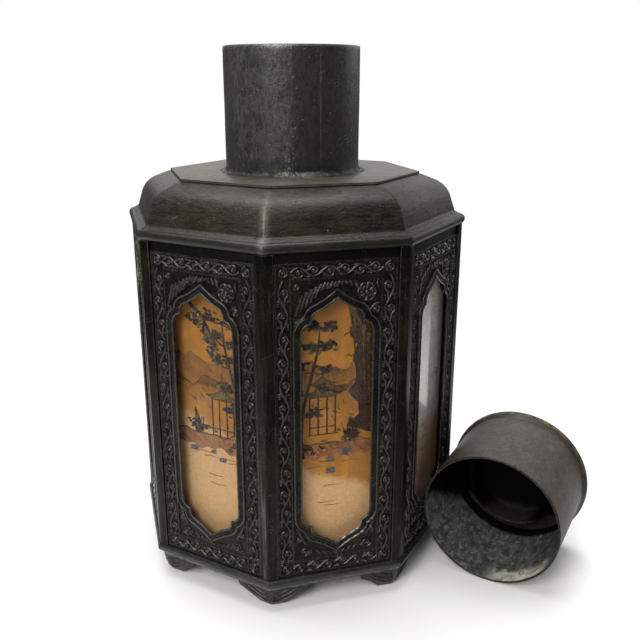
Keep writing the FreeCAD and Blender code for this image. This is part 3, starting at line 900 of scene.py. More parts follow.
# The scrolling borders' middle lines, their corners, and the two lines beside them
BAND = 16.65
TOP_BAND = 114.75
FOOT_BAND = 14.95
BAND_CORNER = 2.3
BORDER_LINES = ((14.33, 112.35), (19.03, 117.05))


class CADDY_OT_scrolls(bpy.types.Operator):
    """Carves the scrolling borders and the foliage round each window"""
    bl_idname = "caddy.scrolls"
    bl_label = "Carve Scrolls"

    def execute(self, context):
        carving = settings().carving
        work = Carving(carving.stem)
        self.borders(work, carving.swing / MM, carving.wave / MM)
        self.head_leaves(work)
        self.head_flower(work)
        self.foot_curls(work)
        rubbed = bpy.data.materials["rubbed_relief"]
        ring(work.build("scrolls", lambda z: GROUND + 0.02), "panel_scrolls", (rubbed,))
        ring(self.foot_scrolls(carving.stem * 0.7), "foot_scrolls", (rubbed,))
        return {"FINISHED"}

    def borders(self, work, swing, wave):
        """Vines up both sides and along the head and the foot, with a curl in each corner."""
        foot, head = FOOT_BAND + BAND_CORNER, TOP_BAND - BAND_CORNER
        for side in (-1, 1):
            work.vine(head - foot, lambda a, c: (side * BAND + c, foot + a), swing, wave, side)
            for level, turn in ((TOP_BAND, 1), (FOOT_BAND, -1)):
                work.curl((side * BAND, level), 1.75, 0.5, 90 * turn, side * turn * 1.6)
        low = BODY_FOOT + 0.9
        for line, high in BORDER_LINES:
            work.stroke([(-line, low), (-line, high), (line, high), (line, low)], 0.62, 0.62)
        run = 2 * (BAND - BAND_CORNER)
        for level in (TOP_BAND, FOOT_BAND):
            work.vine(run, lambda a, c: (a - run / 2, level + c), swing, wave * 0.66)

    def foot_scrolls(self, stem):
        """Leaf lines on the two half feet below the front panel."""
        work = Carving(stem)
        bend = (FOOT_TOP ** 2 + FOOT_CURVE ** 2) / (2 * FOOT_CURVE)
        corner = FOOT_FRONT * SLOPE
        for side in (-1, 1):
            for start, end, *points in (
                    (0.8, 1.0, (10.8, 0.86), (8.2, 0.60), (5.6, 0.36), (2.6, 0.24), (0.9, 0.3)),
                    (0.9, 0.7, (8.8, 0.88), (6.4, 0.70), (3.6, 0.52), (1.0, 0.52)),
                    (0.9, 0.6, (5.6, 0.9), (3.4, 0.76), (1.2, 0.74))):
                work.stroke([(side * (corner - u), FOOT_TOP * t) for u, t in points], start, end)
            work.curl((side * (corner - 2.2), FOOT_TOP * 0.62), 0.9, 0.3, 90, side * 1.2, 0.8)
        middle = FOOT_FRONT - bend
        return work.build(
            "foot_lines", lambda z: middle + math.sqrt(bend ** 2 - (FOOT_TOP - z) ** 2))

    def head_leaves(self, work):
        """A pleated leaf left of the window's head, with its stalk along the arch."""
        for i in range(5):
            u = -12.9 + 1.5 * i
            work.stroke([
                (u, 101.2 + 1.3 * i), (u + 0.9, 104.6 + 1.1 * i), (u + 2.1, 107.8 + 0.75 * i)],
                1.2, 1.7)
        for i in range(3):
            u = -4.9 + 2.3 * i
            work.leaf((u + 1.2, 111.3), (u - 0.8, 108.6 + 0.5 * i), 1.9)
            work.leaf((u + 2.2, 111.2), (u + 0.9, 109.4 + 0.4 * i), 1.2)
        work.curl((-12.2, 98.6), 1.2, 0.4, 60, 1.2)
        work.stroke([(-13.3, 100.6), (-11.4, 99.9), (-9.9, 101.6)], 1.0, 0.6)
        work.curl((-12.6, 110.4), 1.0, 0.35, 200, 1.2)

    def head_flower(self, work):
        """A flower with square petals right of the window's head."""
        centre = Vector((9.3, 107.4))
        for i in range(6):
            way = Vector(swung((0, 0), 1, i * math.pi / 3))
            side = way.orthogonal()
            petal = ((0.9, -0.5), (2.5, -1.15), (2.9, 0), (2.5, 1.15), (0.9, 0.5))
            work.stroke([(centre + way * r + side * w)[:] for r, w in petal], 1.05, 1.05)
            work.leaf(centre + way * 1.1, centre + way * 2.2, 1.1)
        work.dot(centre, 1.6)
        work.curl((12.3, 101.6), 1.3, 0.4, 120, -1.3)
        work.stroke([(13.2, 103.6), (11.6, 103.3), (10.3, 101.4)], 1.0, 0.6)
        for i in range(3):
            work.leaf((2.2 + 1.5 * i, 111.3), (3.2 + 1.5 * i, 109.8 - 0.5 * i), 1.5)
        work.leaf((13.1, 108.2), (12.9, 111.2), 1.1)
        work.leaf((12.3, 98.8), (12.9, 96.4), 0.9)

    def foot_curls(self, work):
        """Curls and leaves either side of the window's foot."""
        for side in (-1, 1):
            work.curl((side * 10.6, 20.6), 1.8, 0.45, 200 if side < 0 else -20, side * -1.5)
            work.curl((side * 12.4, 25.4), 1.1, 0.4, 80, side * 1.2)
            work.fan((side * 8.2, 19.4), 90 - side * 50, 80, 2.2, 4)
            for k in range(4):
                u = side * (6.8 - 1.9 * k)
                work.leaf((u, 20.6 - 0.45 * k), (u - side * 1.4, 18.9 - 0.2 * k), 1.1)
            work.stroke(
                [(side * 13.2, 29.6), (side * 12.3, 27.6), (side * 10.2, 23.6)], 0.6, 1.0)


# Glass and painted cards

# How well each paint covers the card, in the order of a painting's materials
COVER = dict(paper=0.8, haze=0.4, ink=0.94, foliage=0.8, earth=0.86, rose=0.55, stone=0.6)
# Half the width that is painted, the depth that all layers share, and the panes' sizes
CARD_HALF = 15
PAINT_DEPTH = 0.34
PANE_THICK = 1.4
PANE_BEVEL = 0.15


class Brush:
    """Painted strokes and washes for one card, each a thin closed layer over the one before.

    Points are (across, level) in millimetres on the front card.
    """

    def __init__(self, seed):
        self.rng = random.Random(seed)
        self.layers = []

    def patch(self, tone, outline):
        self.layers.append((tone, [Vector(point) for point in outline]))

    def stroke(self, tone, points, start, end=None):
        """A line whose width runs from start to end."""
        end = start if end is None else end
        points = [Vector(point) for point in points]
        last = len(points) - 1
        left, right = [], []
        for i, point in enumerate(points):
            ahead = points[min(i + 1, last)] - points[max(i - 1, 0)]
            half = (start + (end - start) * i / last) / 2 * self.rng.uniform(0.8, 1.2)
            side = Vector((-ahead.y, ahead.x)).normalized() * half
            left.append(point + side)
            right.append(point - side)
        self.patch(tone, left + right[::-1])

    def blob(self, tone, centre, wide, high, tilt, points):
        """A rough oval."""
        outline = []
        for i in range(points):
            angle = 2 * math.pi * i / points
            grow = self.rng.uniform(0.75, 1.2)
            across, up = wide * grow * math.cos(angle), high * grow * math.sin(angle)
            outline.append((
                centre[0] + across * math.cos(tilt) - up * math.sin(tilt),
                centre[1] + across * math.sin(tilt) + up * math.cos(tilt)))
        self.patch(tone, outline)

    def tuft(self, tone, centre, wide, high, count):
        """A cloud of small leaves."""
        rng = self.rng
        for _ in range(count):
            spot = (centre[0] + rng.gauss(0, wide * 0.45), centre[1] + rng.gauss(0, high * 0.45))
            self.blob(
                tone, spot, rng.uniform(0.5, 1.0), rng.uniform(0.3, 0.6),
                rng.uniform(-0.6, 0.6), 7)

    def twig(self, root, tip, bend, start, end, *leaves):
        """A bent line of ink, with tufts over its tip as (tone, lift, wide, high, count)."""
        root, tip = Vector(root), Vector(tip)
        self.stroke("ink", [root, (root + tip) / 2 + Vector(bend), tip], start, end)
        for tone, lift, wide, high, count in leaves:
            self.tuft(tone, tip + Vector((0, lift)), wide, high, count)

    def hatch(self, tone, low, high, count, long, lean, wide):
        """Scattered short strokes inside a box."""
        rng = self.rng
        for _ in range(count):
            root = (rng.uniform(low[0], high[0]), rng.uniform(low[1], high[1]))
            angle = math.radians(lean + rng.uniform(-25, 25))
            tip = swung(root, long * rng.uniform(0.5, 1.2), angle)
            self.stroke(tone, [root, tip], wide, wide * 0.4)

    def ragged(self, points, jitter, parts=4):
        """The same line with a rough edge."""
        made = []
        for here, ahead in zip(points, points[1:]):
            for k in range(parts):
                spot = Vector(here).lerp(Vector(ahead), k / parts)
                made.append(tuple(c + self.rng.uniform(-jitter, jitter) for c in spot))
        return made + [points[-1]]

    def hills(self):
        """Two far ridges with hatched slopes."""
        for level, lift in ((83.0, 9.0), (76.0, 6.0)):
            tops = self.ragged([
                (u, level + lift * noise.noise((u * 0.16, level, self.rng.random() * 0.3)))
                for u in range(-CARD_HALF, CARD_HALF + 1, 2)], 0.28)
            self.patch("haze", [(-CARD_HALF, level - 9)] + tops + [(CARD_HALF, level - 9)])
            self.stroke("earth", tops, 0.22, 0.16)
        self.hatch("earth", (-12, 70), (12, 82), 22, 2.2, -55, 0.2)
        self.hatch("foliage", (-12, 66), (12, 74), 14, 2.6, -40, 0.4)

    def cliff(self, side):
        """A dark rock down one edge, with folds and a lit rim."""
        rng = self.rng
        rim = []
        for i in range(12):
            bulge = 4.6 * abs(math.sin(i * 1.1 + rng.random())) * (0.6 + 0.05 * i)
            rim.append((side * (4.2 + bulge), 105.0 - 3.9 * i))
        edge = side * CARD_HALF
        self.patch("earth", [(edge, 108)] + self.ragged(rim, 0.4, 6) + [(edge, 58)])
        for i in range(5):
            top = side * (6.6 + 1.5 * i)
            self.stroke("foliage", [
                (top - side * 1.2, 103 - 2.5 * i), (top, 94 - 2 * i),
                (top + side * 0.9, 82 - 3 * i)], 1.3, 0.3)
            self.stroke(
                "ink", [(top - side * 0.6, 100 - 2 * i), (top + side * 0.6, 86 - 3 * i)], 0.5, 0.25)
        self.stroke("paper", [(u - side * 0.15, z) for u, z in rim[4:11]], 0.35, 0.2)
        self.tuft("ink", (side * 7.5, 64), 3.5, 2.0, 10)
        near, far = sorted((side * 7.0, side * 12.0))
        self.hatch("ink", (near, 66), (far, 102), 18, 3.2, 80, 0.3)
        for i in range(3):
            root = Vector(rim[3 + 2 * i])
            tip = root + Vector((-side * rng.uniform(1.8, 3.0), rng.uniform(-2.5, 1.0)))
            self.twig(root, tip, (0, 0.6), 0.4, 0.15)

    def pine(self, side, foot, high):
        """A leaning trunk with level pads of needles."""
        rng = self.rng
        trunk = []
        for i in range(7):
            t = i / 6
            trunk.append((side * (10.2 - 4.6 * t + 1.6 * math.sin(5.2 * t)), foot + high * t))
        self.stroke("ink", trunk, 1.7, 0.45)
        self.stroke("earth", [(u + side * 0.3, z) for u, z in trunk[:5]], 0.6, 0.2)
        for spot in trunk[2:]:
            root = Vector(spot)
            for way in (-side, side):
                tip = root + Vector((way * rng.uniform(2.2, 5.0), rng.uniform(-0.8, 2.2)))
                self.twig(
                    root, tip, (0, -0.5), 0.5, 0.2,
                    ("foliage", 0.4, 3.6, 1.9, 12), ("ink", 1.0, 3.0, 1.5, 18))

    def bough(self, side):
        """A dark branch that hangs from an upper corner, with hanging leaves."""
        rng = self.rng
        limb = [(side * u, z) for u, z in (
            (11, 105), (7.6, 100.5), (4.2, 98.5), (1.2, 94.0), (0.4, 90.5))]
        self.stroke("ink", self.ragged(limb, 0.15), 1.5, 0.3)
        for u, z in limb[1:]:
            for _ in range(3):
                tip = (u + rng.uniform(-2.6, 2.6), z - rng.uniform(2.5, 6.5))
                self.twig(
                    (u, z), tip, (0.4, 0), 0.4, 0.14,
                    ("foliage", 0, 1.6, 1.8, 5), ("ink", 0, 1.3, 1.6, 6))

    def pavilion(self, middle, foot):
        """A small open pavilion: posts, rails, two eaves and a finial."""
        half, tall = 4.2, 13.5
        for u in (-half, -half * 0.35, half * 0.35, half):
            self.stroke("earth", [(middle + u, foot), (middle + u, foot + tall)], 0.5)
        for z, wide in ((0.0, 1.25), (2.6, 1.0), (tall - 0.6, 1.05)):
            reach = half * wide
            self.stroke("ink", [(middle - reach, foot + z), (middle + reach, foot + z)], 0.3)
        for z, wide, lift in ((tall, 1.55, 3.2), (tall + 3.4, 1.0, 3.0)):
            reach, level = half * wide, foot + z
            eave = [(middle + reach * t, level + lift * (1 - abs(t)) ** 1.6 + 0.5 * t * t)
                    for t in (-1, -0.7, -0.4, -0.1, 0.1, 0.4, 0.7, 1)]
            soffit = [(middle + reach * t, level - 0.3) for t in (0.75, -0.75)]
            self.patch("foliage", eave + soffit)
            self.stroke("ink", eave, 0.4)
        top = foot + tall
        self.stroke("ink", [(middle, top + 6.0), (middle, top + 9.0)], 0.5, 0.15)

    def reeds(self, middle, foot, count, high):
        """A clump of leaning stalks."""
        for _ in range(count):
            lean = self.rng.uniform(-0.45, 0.45)
            u, z = middle + self.rng.uniform(-2.2, 2.2), foot + self.rng.uniform(-0.8, 0.8)
            tall = high * self.rng.uniform(0.6, 1.0)
            self.stroke("ink", [
                (u, z), (u + lean * tall * 0.4, foot + tall * 0.6), (u + lean * tall, foot + tall)],
                0.28, 0.1)

    def shore(self):
        """A rose bank, waterlines and blue-grey stones in the pale foreground."""
        rng = self.rng
        across = range(-CARD_HALF, CARD_HALF + 1)
        bank = [
            (u, 57.0 + 2.4 * noise.noise((u * 0.2, rng.random() * 0.15, 4.0))) for u in across]
        under = [(u, 52.0 + 2.0 * noise.noise((u * 0.25, 7.0, 1.0))) for u in reversed(across)]
        self.patch("rose", bank + under)
        self.stroke("ink", bank, 0.35, 0.2)
        for u in range(-13, 14, 2):
            z = 55.6 + rng.uniform(-1.0, 0.6)
            self.stroke("earth", [(u, z), (u + 1.0, z - 1.6), (u + 2.6, z - 2.0)], 0.3, 0.12)
        for _ in range(6):
            u, z = rng.uniform(-9, 5), rng.uniform(34, 51)
            crest = (u + 3, z + rng.uniform(-0.4, 0.4))
            self.stroke("rose", [(u, z), crest, (u + 6, z)], 0.28, 0.1)
        self.hatch("haze", (-11, 27), (8, 50), 16, 3.4, 0, 0.35)
        for _ in range(4):
            u, z = rng.uniform(-9.5, 9.5), rng.uniform(46, 54)
            wide = rng.uniform(1.0, 2.1)
            self.blob("stone", (u, z), wide, wide * 0.55, rng.uniform(-0.3, 0.3), 8)
            foot = [(u - wide, z - wide * 0.5), (u + wide, z - wide * 0.55)]
            self.stroke("ink", foot, 0.25, 0.12)

    def birds(self):
        """A few birds far off."""
        for _ in range(4):
            u, z = self.rng.uniform(-6, 6), self.rng.uniform(88, 97)
            self.stroke("ink", [(u - 1.1, z + 0.5), (u, z), (u + 1.2, z + 0.7)], 0.3, 0.14)

    def build(self, name):
        """One mesh of flat closed layers in front of the first card."""
        tones = list(COVER)
        verts, faces, kinds = [], [], []
        rise = PAINT_DEPTH / len(self.layers)
        back = -(CARD_FRONT + 0.01) * MM
        for i, (tone, outline) in enumerate(self.layers):
            front = -(CARD_FRONT + HAIR + rise * i) * MM
            turn = sum(a.cross(b) for a, b in zip(outline, outline[1:] + outline[:1]))
            outline = outline if turn > 0 else outline[::-1]
            first, count = len(verts), len(outline)
            for depth in (front, back):
                verts += [(p.x * MM, depth, p.y * MM) for p in outline]
            faces.append(tuple(range(first, first + count)))
            faces.append(tuple(range(first + 2 * count - 1, first + count - 1, -1)))
            for k in range(count):
                ahead = (k + 1) % count
                faces.append((first + k, first + count + k, first + count + ahead, first + ahead))
            kinds += [tones.index(tone)] * (count + 2)
        painting = new_piece(name, verts, (), faces)
        painting.data.polygons.foreach_set("material_index", kinds)
        return painting


class CADDY_OT_windows(bpy.types.Operator):
    """Glazes the windows, and paints a landscape on the amber card behind each"""
    bl_idname = "caddy.windows"
    bl_label = "Glaze Windows"

    def execute(self, context):
        paper = self.card_paper()
        for k in range(1, SIDES + 1):
            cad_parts[f"picture_card_{k}"].material_slots[0].material = paper
        self.paint_cards()
        half = CARD_FRONT * SLOPE - 0.5
        low, high = BODY_FOOT + 0.3, BODY_TOP - 0.5
        bpy.ops.object.select_all(action="DESELECT")
        bpy.ops.mesh.primitive_cube_add(size=1, location=(0, 0, 0))
        pane = context.object
        middle = GLASS_FRONT - 0.1 - PANE_THICK / 2
        pane.data.transform(Matrix.Diagonal((2 * half * MM, PANE_THICK * MM, (high - low) * MM, 1)))
        pane.data.transform(Matrix.Translation((0, -middle * MM, (low + high) / 2 * MM)))
        apply(pane, "BEVEL", width=PANE_BEVEL * MM, segments=1)
        ring(pane, "pane", (self.old_glass(),), "glass_pane", "window_glass")
        return {"FINISHED"}

    def old_glass(self):
        """Clear glass with dust, and above a ragged line a painted reflection: a pale layer that
        shows at a slant.
        """
        material, f = new_material("old_glass")
        slant = f.step(f.node("LayerWeight", {"Blend": 0.5}, "Facing"), 0.26, 0.66)
        dust = f.step(f.noise(7.0, 5.0, 0.65), 0.5, 0.8) * 0.03
        # Painted reflection: a pale layer, strongest above a ragged line
        painted_reflection = f.step(f.axis("Z") + f.noise(9.0, 3.0) * 10, 50.0, 64.0) * 0.34 + 0.1
        f.surface({
            "Base Color": (0.95, 0.94, 0.91),
            "Metallic": 0.35,
            "Roughness": 0.08,
            "Alpha": slant * painted_reflection + dust + 0.012,
        })
        return material

    def paint_cards(self):
        """A landscape for each card, with its sides swapped from one to the next."""
        c = settings().picture
        paints = [self.paint(tone, getattr(c, tone)) for tone in COVER]
        for k in range(SIDES):
            brush = Brush(c.seed + k)
            side = 1 if k % 2 else -1
            brush.hills()
            if k % 3 != 1:
                brush.cliff(-side)
            else:
                brush.bough(-side)
            brush.birds()
            brush.pavilion(side * 3.4, 57.0 if k % 2 else 60.0)
            brush.shore()
            brush.pine(side, 52.0, 44.0)
            brush.tuft("foliage", (-side * 5.0, 58.5), 6.0, 2.4, 16)
            brush.tuft("ink", (-side * 6.5, 59.5), 4.5, 2.2, 18)
            brush.tuft("earth", (side * 8.0, 55.0), 4.0, 1.8, 12)
            brush.reeds(-side * 6.0, 57.0, 7, 9.0)
            painting = brush.build(f"painting_{k + 1}")
            painting.data.transform(Matrix.Rotation(TURN * k, 4, "Z"))
            dress(painting, paints, slot="picture_card")

    def paint(self, tone, body):
        """Thin paint with streaks of the brush, through which the card shows; haze fades low."""
        material, f = new_material(f"{tone}_paint")
        streak = f.noise(1.6, 5.0, 0.7, (1, 1, 0.4))
        wash = f.noise(4.0, 5.0, 0.7)
        dry = f.step(f.noise(0.5, 3.0, 0.7, (1, 1, 0.5), (3, 1, 2)), 0.3, 0.52)
        cover = (f.step(wash, 0.28, 0.52) * 0.6 + 0.4) * (dry * 0.35 + 0.65) * COVER[tone]
        if tone == "haze":
            cover = cover * f.step(f.axis("Z") + wash * 6, 70.0, 86.0)
        f.surface({
            "Base Color": f.mix(f.step(streak, 0.3, 0.72), shade(body, 0.65), shade(body, 1.4)),
            "Roughness": 0.6,
            "Specular IOR Level": 0.2,
            "Alpha": cover,
        })
        return material

    def card_paper(self):
        """Amber paper with stains and brush streaks, a pale foreground that also stands in for the
        floor's reflection in the glass, and painted shade darkening the cards on the left.
        """
        material, f = new_material("amber_card")
        c = settings().picture
        x, z = f.axis("X"), f.axis("Z")
        stain = f.step(f.noise(9.0, 4.0, 0.6), 0.35, 0.68)
        streak = f.step(f.noise(3.0, 4.0, 0.6, (1, 1, 0.12)), 0.42, 0.75)
        smoke = f.step(f.noise(5.0, 6.0, 0.7, (1, 1, 0.5), (2, 6, 4)), 0.5, 0.7)
        # Edge of the pale foreground, which also paints in the floor's reflection in the glass
        edge = z + x * 0.43 + f.noise(6.0, 4.0, 0.6) * 8.0
        spots = f.step(f.cells(3.5), 0.10, 0.04)
        grain = f.step(f.noise(0.7, 4.0, 0.75), 0.35, 0.7)
        paper = f.over(
            f.mix(stain, shade(c.paper, 0.72), c.paper),
            (streak * 0.4, shade(c.paper, 1.35)),
            (smoke * f.step(z, 52.0, 64.0) * 0.5, c.haze),
            (f.step(edge, 50.5, 46.5), c.pale_ground_and_reflection),
            (spots * 0.5, c.earth),
            # Grain, and painted shade darkening the cards on the left, where the key lamp falls
            ((1 - grain) * 0.22 + f.step(x, -8.0, -30.0) * 0.12, c.earth))
        f.surface({"Base Color": paper, "Roughness": 0.6, "Specular IOR Level": 0.2})
        return material


# Neck and cap

NECK_WALL = 1.1
NECK_RINGS = 30


def neck_marks_and_painted_light(f, tone):
    """The seam, the browner right side that is partly painted shade, a painted highlight left of
    the middle, painted shade on the left edge, the blue-black foot and the nicks in the tube.
    """
    p = settings().pewter
    z = f.axis("Z")
    round_ = f.bearing()
    stray = f.noise(5.0, 4.0, 0.65)
    over_bead = z - SOLDER_TOP
    # The right side browner: partly its own patina, partly painted shade
    brown = f.step(round_ + stray * 5, -15.0, -9.0) * f.step(round_, 110.0, 70.0)
    # Painted highlight: mottled light left of the middle
    painted_highlight = f.step(abs(round_ + 33.0), 24.0, 4.0) * f.step(stray, 0.34, 0.62)
    seam = f.step(abs(round_ - 9.5), 0.9, 0.2) * f.step(stray, 0.3, 0.6)
    streak = f.step(f.noise(1.0, 4.0, 0.7, (1, 1, 0.05)), 0.5, 0.7)
    foot = f.step(over_bead + stray * 3, 6.4, 3.6)
    burnt = f.step(f.noise(1.1, 4.0, 0.7, EVEN, (8, 2, 5)), 0.46, 0.56)
    burnt = burnt * f.step(over_bead + stray * 4, 6.5, 2.5) * f.step(abs(round_ - 4.0), 34.0, 14.0)
    mouth = f.step(z, NECK_TOP - 1.1, NECK_TOP - 0.3)
    nick = f.step(f.marks(-35, 1.7, 0.17, (2, 2, 6)), 0.72, 0.77)
    nick = nick + f.step(f.marks(62, 1.3, 0.17), 0.73, 0.78)
    near = f.step(abs(round_ + 14.5), 8.0, 2.0) * f.step(stray, 0.46, 0.56)
    return f.over(
        tone,
        (brown * 0.68, srgb(36, 32, 30)),
        # Painted shade: the neck's left edge darker
        (f.step(round_, -52.0, -86.0) * 0.5, shade(p.neck, 0.3)),
        (painted_highlight * 0.5, srgb(92, 92, 94)),
        (seam * 0.22, shade(p.bare, 0.5)),
        (streak * 0.35, shade(p.neck, 0.5)),
        (foot * 0.75, srgb(38, 39, 44)),
        (burnt * 0.85, srgb(9, 9, 10)),
        (mouth * 0.2, shade(p.bare, 0.6)),
        (f.math("MINIMUM", nick * near, 1.0) * 0.65, p.bare))


def solder_pits(f, tone):
    """White pits and black hollows in the solder, thickest at the front."""
    bare = settings().pewter.bare
    front = f.step(abs(f.bearing() + 9.0), 26.0, 6.0) * 0.95 + 0.05
    white = f.step(f.noise(0.34, 2.0, 0.6), 0.47, 0.6) * front
    hollow = f.step(f.noise(1.4, 3.0, 0.7, EVEN, (4, 4, 4)), 0.5, 0.64)
    return f.over(
        tone,
        (front * 0.12, shade(bare, 0.3)),
        (white * 0.6, shade(bare, 0.9)),
        (hollow * 0.75, srgb(22, 22, 23)))


class CADDY_OT_neck(bpy.types.Operator):
    """Turns the neck and runs the rough solder round its foot"""
    bl_idname = "caddy.neck"
    bl_label = "Raise Neck"

    def execute(self, context):
        p = settings().pewter
        neck = self.tube()
        finish = pewter("neck_pewter", p.neck, 0.12, 0.12, 0.31, 1.0, neck_marks_and_painted_light, (1, 1, 0.45))
        dress(neck, (finish,), "neck")
        solder = self.bead()
        finish = pewter("rough_solder", p.solder, 0.2, 0.35, 0.42, 0.4, solder_pits)
        dress(solder, (finish,), "neck_solder", slot="solder")
        return {"FINISHED"}

    def tube(self):
        """The tube with its rounded mouth and shallow hollows, always inward."""
        outer, inner = NECK_RADIUS, NECK_RADIUS - NECK_WALL
        tall = NECK_TOP - 0.4 - NECK_FOOT
        outside = [(outer, NECK_FOOT + tall * i / NECK_RINGS) for i in range(NECK_RINGS + 1)]
        rim = [(outer - 0.12, NECK_TOP - 0.12), (outer - 0.4, NECK_TOP), (inner + 0.3, NECK_TOP)]
        inside = [(inner, NECK_TOP - 0.3), (inner, NECK_FOOT)]
        neck = turned("neck_tube", outside + rim + inside)
        for v in neck.data.vertices:
            dent = noise.noise(v.co * 60.0) * 0.22 + noise.noise(v.co * 170.0) * 0.05
            v.co.xy *= 1 - max(dent, 0.0) / NECK_RADIUS
        smooth(neck, 50)
        return neck

    def bead(self):
        """The solder's hollow fillet, with lumps that stay within it."""
        wide = SOLDER_RADIUS - NECK_RADIUS
        rise = SOLDER_TOP - PLATE_TOP
        root = NECK_RADIUS - 0.1
        arc = [(root, PLATE_TOP - HAIR)]
        for i in range(13):
            t = math.radians(90) * i / 12
            arc.append((
                NECK_RADIUS + wide * (1 - math.sin(t)), PLATE_TOP + rise * (1 - math.cos(t))))
        arc.append((root, SOLDER_TOP))
        solder = turned("solder_bead", arc, 360)
        for v in solder.data.vertices:
            lump = noise.noise(v.co * 380.0) * 0.5 + noise.noise(v.co * 1000.0) * 0.35
            reach = v.co.xy.length
            if reach > (NECK_RADIUS + HAIR) * MM:
                v.co.xy *= 1 + min(lump, 0.0) * MM / reach
                v.co.z = max(v.co.z + min(lump, 0.0) * 0.5 * MM, PLATE_TOP * MM)
        smooth(solder, 70)
        return solder


CAP_RADIUS = 24.0
CAP_BORE = 23.25
CAP_LIP = 25.2
CAP_LENGTH = 37.0
CAP_DISC = 1.4
CAP_FLANGE = 0.6
CAP_SEAT = CAP_LENGTH - CAP_DISC
COLLAR_RADIUS = 16.1
COLLAR_WALL = 0.9
COLLAR_LENGTH = 9.0
CAP_OUT = 79.4
CAP_ALONG = -3.8
# How far patterns inside the cap are drawn out along it
CAP_GRAIN = 1 / 0.62
# Black painted inside the cap as shadow
PAINTED_SHADOW_BLACK = srgb(4, 4, 4)
# Places in the cap's list of materials, after its outside
WITHIN, EDGE, SHADOW = 1, 2, 3


def cap_place():
    """Where the cap lies: its mouth's centre at the origin of its own frame, its axis along Z."""
    tilt = math.atan((CAP_LIP - CAP_RADIUS) / (CAP_SEAT - CAP_FLANGE))
    turn = Matrix.Rotation(TURN, 3, "Z")
    outward = turn @ Vector((0, -1, 0))
    along = turn @ Vector((1, 0, 0))
    up = Vector((0, 0, 1))
    mouth = outward * CAP_OUT + along * CAP_ALONG + up * CAP_RADIUS * math.cos(tilt)
    axis = along * math.cos(tilt) + up * math.sin(tilt)
    lean = up.rotation_difference(axis).to_matrix().to_4x4()
    return Matrix.Translation(mouth * MM) @ lean


def cap_depth(f):
    """How far a point lies inside the cap's mouth, in millimetres."""
    place = cap_place()
    axis = place.to_3x3() @ Vector((0, 0, 1))
    x, y, z = f.axes()
    return x * axis.x + y * axis.y + z * axis.z - place.translation.dot(axis) / MM


def cap_noise(f, size, detail, rough, shift=(0, 0, 0)):
    """Noise drawn out along the cap's length."""
    return f.drawn((0, 0, -TURN), (size * CAP_GRAIN, size, size), detail, rough, shift)


def cap_marks_and_painted_shade(f, tone):
    """A cloudy skin, darker next to the caddy as painted shade, with a dark flange and olive flecks
    on it.
    """
    p = settings().pewter
    depth = cap_depth(f)
    stray = f.noise(6.0, 4.0, 0.65)
    pale = f.step(f.noise(8.0, 4.0, 0.65, EVEN, (3, 5, 1)), 0.48, 0.68)
    # Painted shade on the side next to the caddy, where the body shades the cap
    out = (f.axis("X") - f.axis("Y")) * math.sqrt(0.5)
    beside = f.step(out + stray * 4, 71.0, 59.0)
    under = f.step(depth + stray * 3, 33.5, 36.0) * f.step(depth, 38.0, 35.2)
    fleck = f.step(f.noise(1.7, 4.0, 0.7), 0.46, 0.6)
    olive = f.step(depth, 34.2, 35.0) * f.step(depth, 36.9, 36.5) * fleck
    return f.over(
        tone,
        (0.4, p.cap),
        (f.step(stray, 0.42, 0.66) * 0.42, shade(p.cap, 0.5)),
        (pale * 0.45, shade(p.cap, 1.5)),
        (beside * 0.6, shade(p.cap, 0.3)),
        (under * 0.72, shade(p.cap, 0.3)),
        (olive * 0.75, srgb(112, 106, 78)))


def painted_light_in_depth(f, tone):
    """The closed end, painted black as shadow above, and brown-grey below as painted light that
    falls low in the collar.
    """
    shadow = f.step(f.axis("Z") + f.noise(5.0) * 3, 11.5, 15.5)
    return f.over(tone, (0.6, shade(settings().pewter.cap, 0.45)), (shadow * 0.97, PAINTED_SHADOW_BLACK))


def mouth_crust_and_painted_shadow(f, tone):
    """Grey-green oxide clouds low in the cap where it is painted as lit, painted shadow in black
    above and deep inside, and a whitish crust by its mouth.
    """
    p = settings().pewter
    x, y, z = f.axes()
    depth = cap_depth(f)
    cloud = f.noise(3.0, 4.0, 0.62)
    # The part painted as lit: low in the cap and not too deep
    low = f.step(z + depth * 0.5 + cloud * 5, 33.0, 28.0)
    low = low * f.step(depth + cloud * 3, 32.5, 30.5)
    bloom = f.step(cap_noise(f, 3.2, 5.0, 0.65), 0.42, 0.62)
    flake = f.step(cap_noise(f, 1.5, 4.0, 0.62, (7, 3, 5)), 0.5, 0.7)
    crust = f.step(depth + cloud * 12, 14.5, 11.0) * f.step(z + cloud * 6, 16.5, 12.0)
    crust = crust * f.step(x - y, 108.0, 121.0)
    patchy = cloud * 0.45 + cap_noise(f, 2.2, 6.0, 0.72, (1, 4, 2)) * 0.55
    return f.over(
        tone,
        (low * 0.75, shade(p.oxide, 0.24)),
        (bloom * low * 0.8, shade(p.oxide, 0.62)),
        (flake * low * 0.5, srgb(168, 174, 174)),
        # Painted shadow: black outside the lit part
        ((1 - low) * 0.97, PAINTED_SHADOW_BLACK),
        (crust * f.step(patchy, 0.34, 0.58) * 0.92, p.lime))


